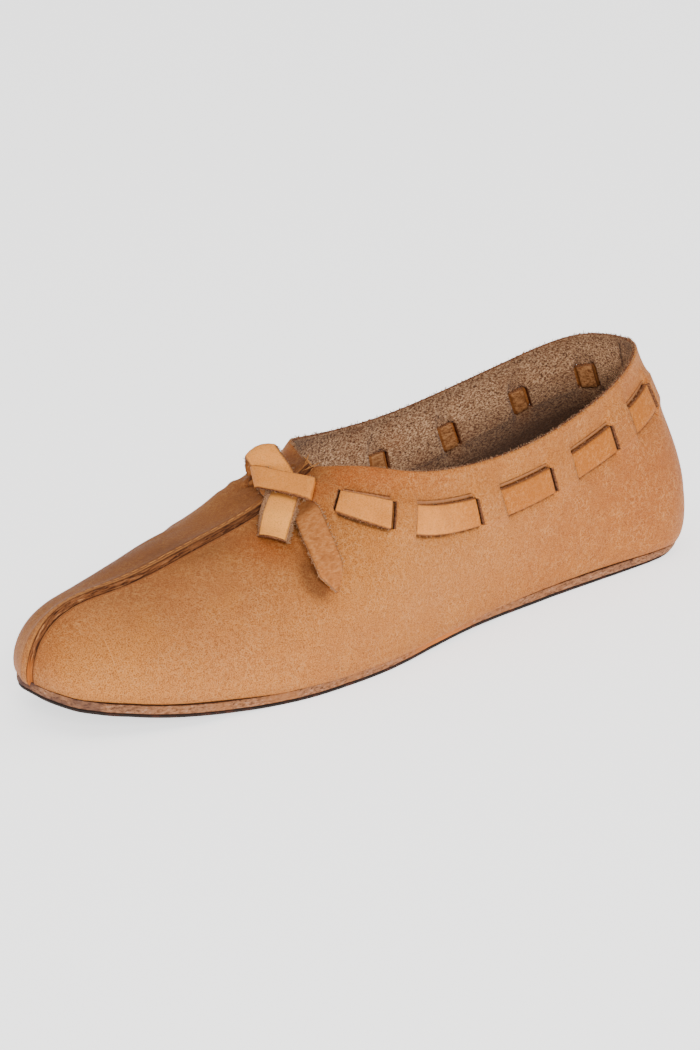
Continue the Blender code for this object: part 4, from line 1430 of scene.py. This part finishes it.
def thong_level(ribs):
    """Offset of the thong's middle from the last along its woven course."""
    side = side_of(ribs)
    level = np.full(side.shape, OUTSIDE_OFFSET)
    for runs, here in ((INSIDE_RUNS, ribs <= LAST_RIB), (MEDIAL_RUNS, ribs > LAST_RIB)):
        for start, end in runs:
            for lip, inner, cover in ((start + rib_step(start, -SLOT_LONG), start, NEAR_COVER),
                                      (end + rib_step(end, SLOT_LONG), end, FAR_COVER)):
                near = (side - lip) / (inner - lip)
                share = eased(ramp(near, cover, DIP_END - cover))
                dip = OUTSIDE_OFFSET + (INSIDE_OFFSET - OUTSIDE_OFFSET) * share
                level = np.where(here & (near >= 0) & (near <= 1), dip, level)
            level = np.where(here & (side >= start) & (side <= end), INSIDE_OFFSET, level)
    return level


def woven_sections():
    """Sections of the woven course from the lateral slit at the throat round the heel to the medial one,
    its middle line, its edges and its offsets from the last."""
    first = INSIDE_RUNS[0][0] + rib_step(INSIDE_RUNS[0][0], -0.55 * SLOT_LONG)
    here = np.interp(first, RULER_RIBS, THONG_RULER)
    side = np.interp(np.arange(here, THONG_RULER[-1], THONG_STEP), THONG_RULER, RULER_RIBS)
    ribs = np.concatenate([side, [float(LAST_RIB)], RING - side[::-1]])[:, None]
    shares, heights = np.array(SECTION).T

    def lifted(share, height):
        depths = thong_depth(ribs) + THONG_WIDE / 2 * share
        return on_last(leaning(ribs, depths), depths, thong_level(ribs) + THONG_THICK / 2 * height)

    edges = lifted(np.array([[-1.0, 1.0]]), 0.0)
    return lifted(shares[None], heights[None]), lifted(0.0, 0.0)[:, 0], edges, thong_level(ribs)[:, 0]


def strap_sections(rows, bows, skives, pointed=False):
    """Sections of a free strap through rows of its two edges, bowed, with one edge cut on a slant."""
    rows = np.asarray(rows, float)
    chord = walked_along(rows.mean(axis=1))
    count = int(chord[-1] / THONG_STEP * STRAP_FINER)
    gone = np.linspace(0, chord[-1], count)
    numbers = np.arange(len(rows))
    places = np.interp(gone, chord, numbers)
    flat = rows.reshape(len(rows), 6)
    fine = np.stack([smooth_curve(values)(places) for values in flat.T], axis=1).reshape(-1, 2, 3)
    middle = fine.mean(axis=1)
    half = (fine[:, 1] - fine[:, 0]) / 2
    out = unit(np.cross(half, np.gradient(middle, axis=0)))
    across, high = np.array(SECTION).T
    across = np.broadcast_to(across, (count, len(across)))
    if pointed:
        least = -np.minimum(gone / TIP_CUTS[0], 1)
        most = np.minimum((gone + TIP_LEFT) / TIP_CUTS[1], 1)
        across = np.clip(across, least[:, None], most[:, None])
    bow = np.interp(places, numbers, bows)[:, None] * (1 - across ** 2)
    across = across + np.interp(places, numbers, skives)[:, None] * np.array(SKIVE)
    points = (middle[:, None] + half[:, None] * across[..., None]
              + out[:, None] * (high * THONG_THICK / 2 + bow)[..., None])
    return points, middle


def thong_sections():
    """Sections of the whole thong, its middle line, how deep it lies, and the woven course's span."""
    woven, course, edges, levels = woven_sections()
    start = [list(edges[i]) for i in (JOIN, JOIN // 2, 0)]
    finish = [list(edges[-1 - i]) for i in (JOIN, JOIN // 2, 0)]
    front = start + [[knot_point(edge) for edge in row] for row in FRONT_STRAP]
    front += [[on_last(*edge) for edge in row] for row in LONG_END]
    back = finish + [[knot_point(edge) for edge in row] for row in BACK_STRAP]
    plain = (0.0,) * len(front)
    bare = (0.0,) * len(finish)
    skives = (LONG_SKIVE + plain)[:len(front)]
    front_points, front_line = strap_sections(front[::-1], plain, skives, pointed=True)
    back_points, back_line = strap_sections(back, bare + BACK_BOW, bare + BACK_SKIVE)
    between = slice(JOIN + 1, -JOIN - 1)
    points = np.concatenate([front_points, woven[between], back_points])
    line = np.concatenate([front_line, course[between], back_line])
    first = len(front_points)
    last = first + len(woven[between])
    deep = np.zeros(len(line))
    deep[first:last] = np.clip((OUTSIDE_OFFSET - levels[between]) / (OUTSIDE_OFFSET - INSIDE_OFFSET), 0, 1)
    walked = walked_along(line)
    for corners, seed in RAGGED_CORNERS:
        ragged = 0.10 * wander(walked, 2.3, seed) + 0.07 * wander(walked, 0.9, seed + 1)
        for corner in corners:
            j = corner % len(SECTION)
            points[:, j] += unit(points[:, j] - line) * ragged[:, None]
    return points, line, deep, (first, last)


def thong_faces(walked):
    """Faces of the thong and their looks: 0 grain, 1 flesh, 2 cut edges, 3 cut edges of its ends."""
    corners = len(SECTION)
    sections = len(walked)
    faces = []
    looks = []
    for i in range(sections - 1):
        free = walked[i] < LONG_LENGTH or walked[-1] - walked[i] < SHORT_LENGTH
        here = i * corners
        there = here + corners
        for j in range(corners):
            ahead = (j + 1) % corners
            faces.append([here + j, here + ahead, there + ahead, there + j])
            looks.append(3 if free and SECTION_LOOKS[j] == 2 else SECTION_LOOKS[j])
    cap = list(range(corners))
    faces += [cap[::-1], [(sections - 1) * corners + j for j in cap]]
    return faces, looks + [2, 2]


def thong_numbers(walked, deep, first, last):
    """Numbers on the thong's sections that its materials paint by."""
    # The brown numbers are painted shade where the thong turns into the slits, beside the knot, under the
    # fold and where the long end leaves the knot.
    turning = (deep > TURN_FROM) & (deep < TURN_TO)
    shade = np.where(deep < PAST_LIP, 0.65, np.where(deep > NEARLY_IN, 0.88, 0.12))
    dark = np.where(turning, shade, 0.06 * deep)
    rising = np.gradient(deep) < 0
    rising[:(first + last) // 2] = False
    dark = np.where(turning & rising & (deep > NEARLY_IN), 0.4, dark)
    dark[first - DARK_BEFORE:first] = np.linspace(0.1, 0.9, DARK_BEFORE)
    dark[last:last + DARK_BEHIND] = np.linspace(0.9, 0.1, DARK_BEHIND)
    left = walked[-1] - walked
    dark += 0.7 * hump(left - FOLD_SHADE, 1.3) + 0.5 * hump(walked - KNOT_SHADE, 2.5)
    orange = ramp(np.abs(walked - walked[first]), *ORANGE_AFTER)
    orange *= ramp(walked[last] - walked, *ORANGE_BEFORE)
    orange[:first] = 0.12
    # Painted highlight across the middle of the short end, which is paler as a whole.
    pale = 0.5 * hump(left - PALE_MIDDLE, 5.0) + 0.5 * (left < SHORT_LENGTH)
    pale[last:] = np.maximum(pale[last:], 0.2)
    numbers = {"brown": dark, "raw": turning * 1.0, "orange": orange, "pale": pale,
               "inner": (deep > WHOLLY_IN) * 1.0}
    numbers = {label: np.repeat(values, len(SECTION)) for label, values in numbers.items()}
    numbers["border"] = np.tile([(1 - abs(place)) * THONG_WIDE / 2 for place, height in SECTION], len(walked))
    return numbers


def build_thong():
    """One thong from its long end through the knot and the slits, round the heel, to its short end."""
    points, line, deep, span = thong_sections()
    walked = walked_along(line)
    faces, looks = thong_faces(walked)
    piece = add_piece("woven_thong", points.reshape(-1, 3), faces, looks,
                      [THONG_GRAIN, THONG_FLESH, THONG_EDGE, END_EDGE], thong_numbers(walked, deep, *span))
    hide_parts("thong", "thong_knot", "thong_end_short", "thong_end_long")
    path = placed(line)
    return points, line, span


THONG_POINTS, THONG_LINE, WOVEN_SPAN = build_thong()


# Stitches and loose fibres

def sizes_of(length, width, height, uneven, roll, turn, seed):
    """Inputs of a grown shape, the lengths given in millimetres."""
    return {"Length": length * MM, "Width": width * MM, "Height": height * MM, "Unevenness": uneven,
            "Roll": roll, "Turn": turn, "Seed": seed}


def growing_tree(name, curved, sizes, material):
    """Node tree that sets a small shape on points, turned along their directions, and its inputs' keys."""
    tree = bpy.data.node_groups.new(name, "GeometryNodeTree")
    keys = {}
    tree.interface.new_socket("Geometry", in_out="INPUT", socket_type="NodeSocketGeometry")
    for label in sizes:
        kind = "NodeSocketInt" if label == "Seed" else "NodeSocketFloat"
        keys[label] = tree.interface.new_socket(label, in_out="INPUT", socket_type=kind).identifier
    tree.interface.new_socket("Geometry", in_out="OUTPUT", socket_type="NodeSocketGeometry")
    given = tree.nodes.new("NodeGroupInput").outputs

    def node(kind, settings, values):
        return add_node(tree, kind, settings, values).outputs[0]

    def direction(label):
        return node("GeometryNodeInputNamedAttribute", {"data_type": "FLOAT_VECTOR"}, {"Name": label})

    def three(*labels):
        return node("ShaderNodeCombineXYZ", {}, dict(zip("XYZ", (given[label] for label in labels))))

    def vectors(operation, first, second):
        return node("ShaderNodeVectorMath", {"operation": operation}, {0: first, 1: second})

    def scaled(vector, factor):
        return node("ShaderNodeVectorMath", {"operation": "SCALE"}, {0: vector, "Scale": factor})

    def drawn(least, most):
        return node("FunctionNodeRandomValue", {"data_type": "FLOAT_VECTOR"}, {
            "Min": least, "Max": most, "Seed": given["Seed"]})

    if curved:
        line = node("GeometryNodeCurveQuadraticBezier", {}, {
            "Resolution": 5, "Start": (0.0, 0.0, 0.0), "Middle": (0.5, 0.0, 5.0), "End": (1.0, 3.0, 1.0)})
        ring = node("GeometryNodeCurvePrimitiveCircle", {}, {"Resolution": 3, "Radius": 0.5})
        shape = node("GeometryNodeCurveToMesh", {}, {"Curve": line, "Profile Curve": ring, "Fill Caps": True})
    else:
        shape = node("GeometryNodeMeshUVSphere", {}, {"Segments": 8, "Rings": 6, "Radius": 0.5})
    turn = node("FunctionNodeAlignRotationToVector", {"axis": "X"}, {"Vector": direction("along")})
    turn = node("FunctionNodeAlignRotationToVector", {"axis": "Z", "pivot_axis": "X"}, {
        "Rotation": turn, "Vector": direction("out")})
    most = three("Roll", "Turn", "Turn")
    extra = node("FunctionNodeEulerToRotation", {}, {"Euler": drawn(scaled(most, -1.0), most)})
    turn = node("FunctionNodeRotateRotation", {"rotation_space": "LOCAL"}, {
        "Rotation": turn, "Rotate By": extra})
    size = three("Length", "Width", "Height")
    spread = scaled(size, given["Unevenness"])
    scale = drawn(vectors("SUBTRACT", size, spread), vectors("ADD", size, spread))
    made = node("GeometryNodeInstanceOnPoints", {}, {
        "Points": given["Geometry"], "Instance": shape, "Rotation": turn, "Scale": scale})
    made = node("GeometryNodeRealizeInstances", {}, {"Geometry": made})
    made = node("GeometryNodeSetShadeSmooth", {}, {"Geometry": made, "Shade Smooth": True})
    made = node("GeometryNodeSetMaterial", {}, {"Geometry": made, "Material": material})
    add_node(tree, "NodeGroupOutput", {}, {"Geometry": made})
    return tree, keys


def grow(name, curved, points, along, out, sizes, material):
    """Small shapes set on points by Geometry Nodes, each turned its own way, as one plain mesh."""
    seeds = bpy.data.meshes.new(name + "_points")
    seeds.from_pydata(placed(points).tolist(), [], [])
    for label, directions in (("along", along), ("out", out)):
        layer = seeds.attributes.new(label, "FLOAT_VECTOR", "POINT")
        layer.data.foreach_set("vector", unit(turned(directions)).astype(np.float32).ravel())
    holder = add_object(name + "_points", seeds)
    tree, keys = growing_tree(name, curved, sizes, material)
    modifier = holder.modifiers.new(name, "NODES")
    modifier.node_group = tree
    for label, value in sizes.items():
        modifier[keys[label]] = value
    ready = holder.evaluated_get(bpy.context.evaluated_depsgraph_get())
    mesh = bpy.data.meshes.new_from_object(ready)
    mesh.name = name
    bpy.data.objects.remove(holder)
    piece = add_object(name, mesh)
    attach(piece, "root")
    return piece


# Stitches: distance from the seam, spacing, lift, distance from the sole, depth at which the row turns over
# the toe, and the ribs that it then follows.
STITCH_OFF = 1.9
STITCH_GAP = 3.7
STITCH_LIFT = 0.12
STITCH_LOW = 2.5
STITCH_TURN = 3.0
STITCH_RIBS = (0.22, 5.0)
# Corners of the thong's two cut edges; the pale fluff of its ends is on the second.
EDGE_CORNERS = [8, 9, 10, 15, 16, 17]
FLUFF_CORNERS = EDGE_CORNERS[3:]
# Loose threads at the collar: rib, depth and lift.
LOOSE_ENDS = ((5.93, 1.0, 1.2), (5.97, 0.5, 0.8), (20.08, 0.8, 1.4), (20.05, 1.6, 1.0), (6.05, 0.4, 0.2),
              (12.7, 0.3, -0.8))


def build_stitches():
    """One row of golden stitches along the lap, from the sole over the toe to the knot."""
    down = np.linspace(rib_length(0.0) - STITCH_LOW, STITCH_TURN, 60)
    per_rib = np.linalg.norm(last_points(RING - 0.05, down) - last_points(0.0, down), axis=1) / 0.05
    ribs = np.concatenate([RING - STITCH_OFF / per_rib, RING - np.linspace(*STITCH_RIBS, 400)])
    depths = np.concatenate([down, np.full(400, STITCH_OFF)])
    line = on_last(ribs, depths, SEAM_PROFILE(STITCH_OFF) + STITCH_LIFT)
    walked = walked_along(line)

    def at_lengths(values, places):
        return np.stack([np.interp(places, walked, row) for row in values.T], axis=1)

    places = np.arange(2.0, walked[-1], STITCH_GAP)
    points = at_lengths(line, places)
    ahead = at_lengths(line, places + 0.6) - points
    out = at_lengths(last_normals(ribs, depths), places)
    piece = grow("seam_stitches", False, points, ahead, out,
                 sizes_of(3.4, 0.40, 0.30, 0.2, 0.2, 0.06, 5), STITCH)


def edge_fibres(name, dice, groups, corners, spread, sizes, material):
    """Fibres that stand out from the thong's cut edges, so many on each group of its sections."""
    chosen = np.concatenate([dice.choice(sections, count) for sections, count in groups])
    points = THONG_POINTS[chosen, dice.choice(corners, len(chosen))]
    along = unit(points - THONG_LINE[chosen]) + dice.normal(0, spread, points.shape)
    return grow(name, True, points, along, np.cross(along, dice.normal(0, 1, along.shape)), sizes, material)


def build_fibres():
    """Frayed collar edge, fluff on the thong's cut edges and on the seam's raw edge, and loose threads."""
    dice = np.random.default_rng(17)
    behind = COLUMNS[(COLUMNS >= THROAT_RIB) & (COLUMNS <= RING - THROAT_RIB)]
    ribs = dice.uniform(behind[0], behind[-1], 1500)
    inwards = dice.uniform(0.05, 1.0, len(ribs))
    points = on_last(ribs, dice.uniform(-0.1, 0.25, len(ribs)), -WALL * inwards)
    up = last_points(ribs, 0.0) - last_points(ribs, 2.0)
    along = up / 2 + dice.normal(0, 0.45, up.shape)
    fluff = grow("collar_fibres", True, points, along, last_normals(ribs, 0.5),
                 sizes_of(0.5, 0.07, 0.07, 0.6, 3.1, 0.5, 6), FUZZ)

    sections = np.arange(len(THONG_POINTS))
    free = (sections < WOVEN_SPAN[0]) | (sections > WOVEN_SPAN[1])
    groups = ((sections[free], 500), (sections[~free], 400))
    fluff = edge_fibres("thong_fibres", dice, groups, EDGE_CORNERS, 0.5,
                        sizes_of(0.5, 0.065, 0.065, 0.6, 3.1, 0.4, 7), FUZZ)
    walked = walked_along(THONG_LINE)
    near = sections[(walked > 8) & (walked < 34)]
    last = sections[walked[-1] - walked < 15]
    fluff = edge_fibres("end_fibres", dice, ((near, 90), (last, 130)), FLUFF_CORNERS, 0.45,
                        sizes_of(0.7, 0.06, 0.06, 0.6, 3.1, 0.5, 11), PALE_FUZZ)

    ribs = dice.uniform(0.3, 5.9, 120)
    depths = dice.uniform(0.1, 1.2, len(ribs))
    points = on_last(ribs, depths, SEAM_PROFILE(-depths) + 0.03)
    along = unit(last_points(ribs + 0.05, depths) - last_points(ribs - 0.05, depths))
    along = along + dice.normal(0, 0.1, along.shape)
    fluff = grow("seam_fibres", True, points, along, last_normals(ribs, depths),
                 sizes_of(0.9, 0.07, 0.07, 0.5, 1.2, 0.1, 8), SEAM_FUZZ)

    ribs, depths, lifts = np.array(LOOSE_ENDS).T
    points = on_last(ribs, depths, lifts)
    along = dice.normal(0, 1, points.shape) + np.array([-0.3, 0.0, 0.5])
    loose = grow("loose_threads", True, points, along, last_normals(ribs, 2.0),
                 sizes_of(3.2, 0.16, 0.16, 0.4, 3.1, 0.5, 9), STITCH)


build_stitches()
build_fibres()
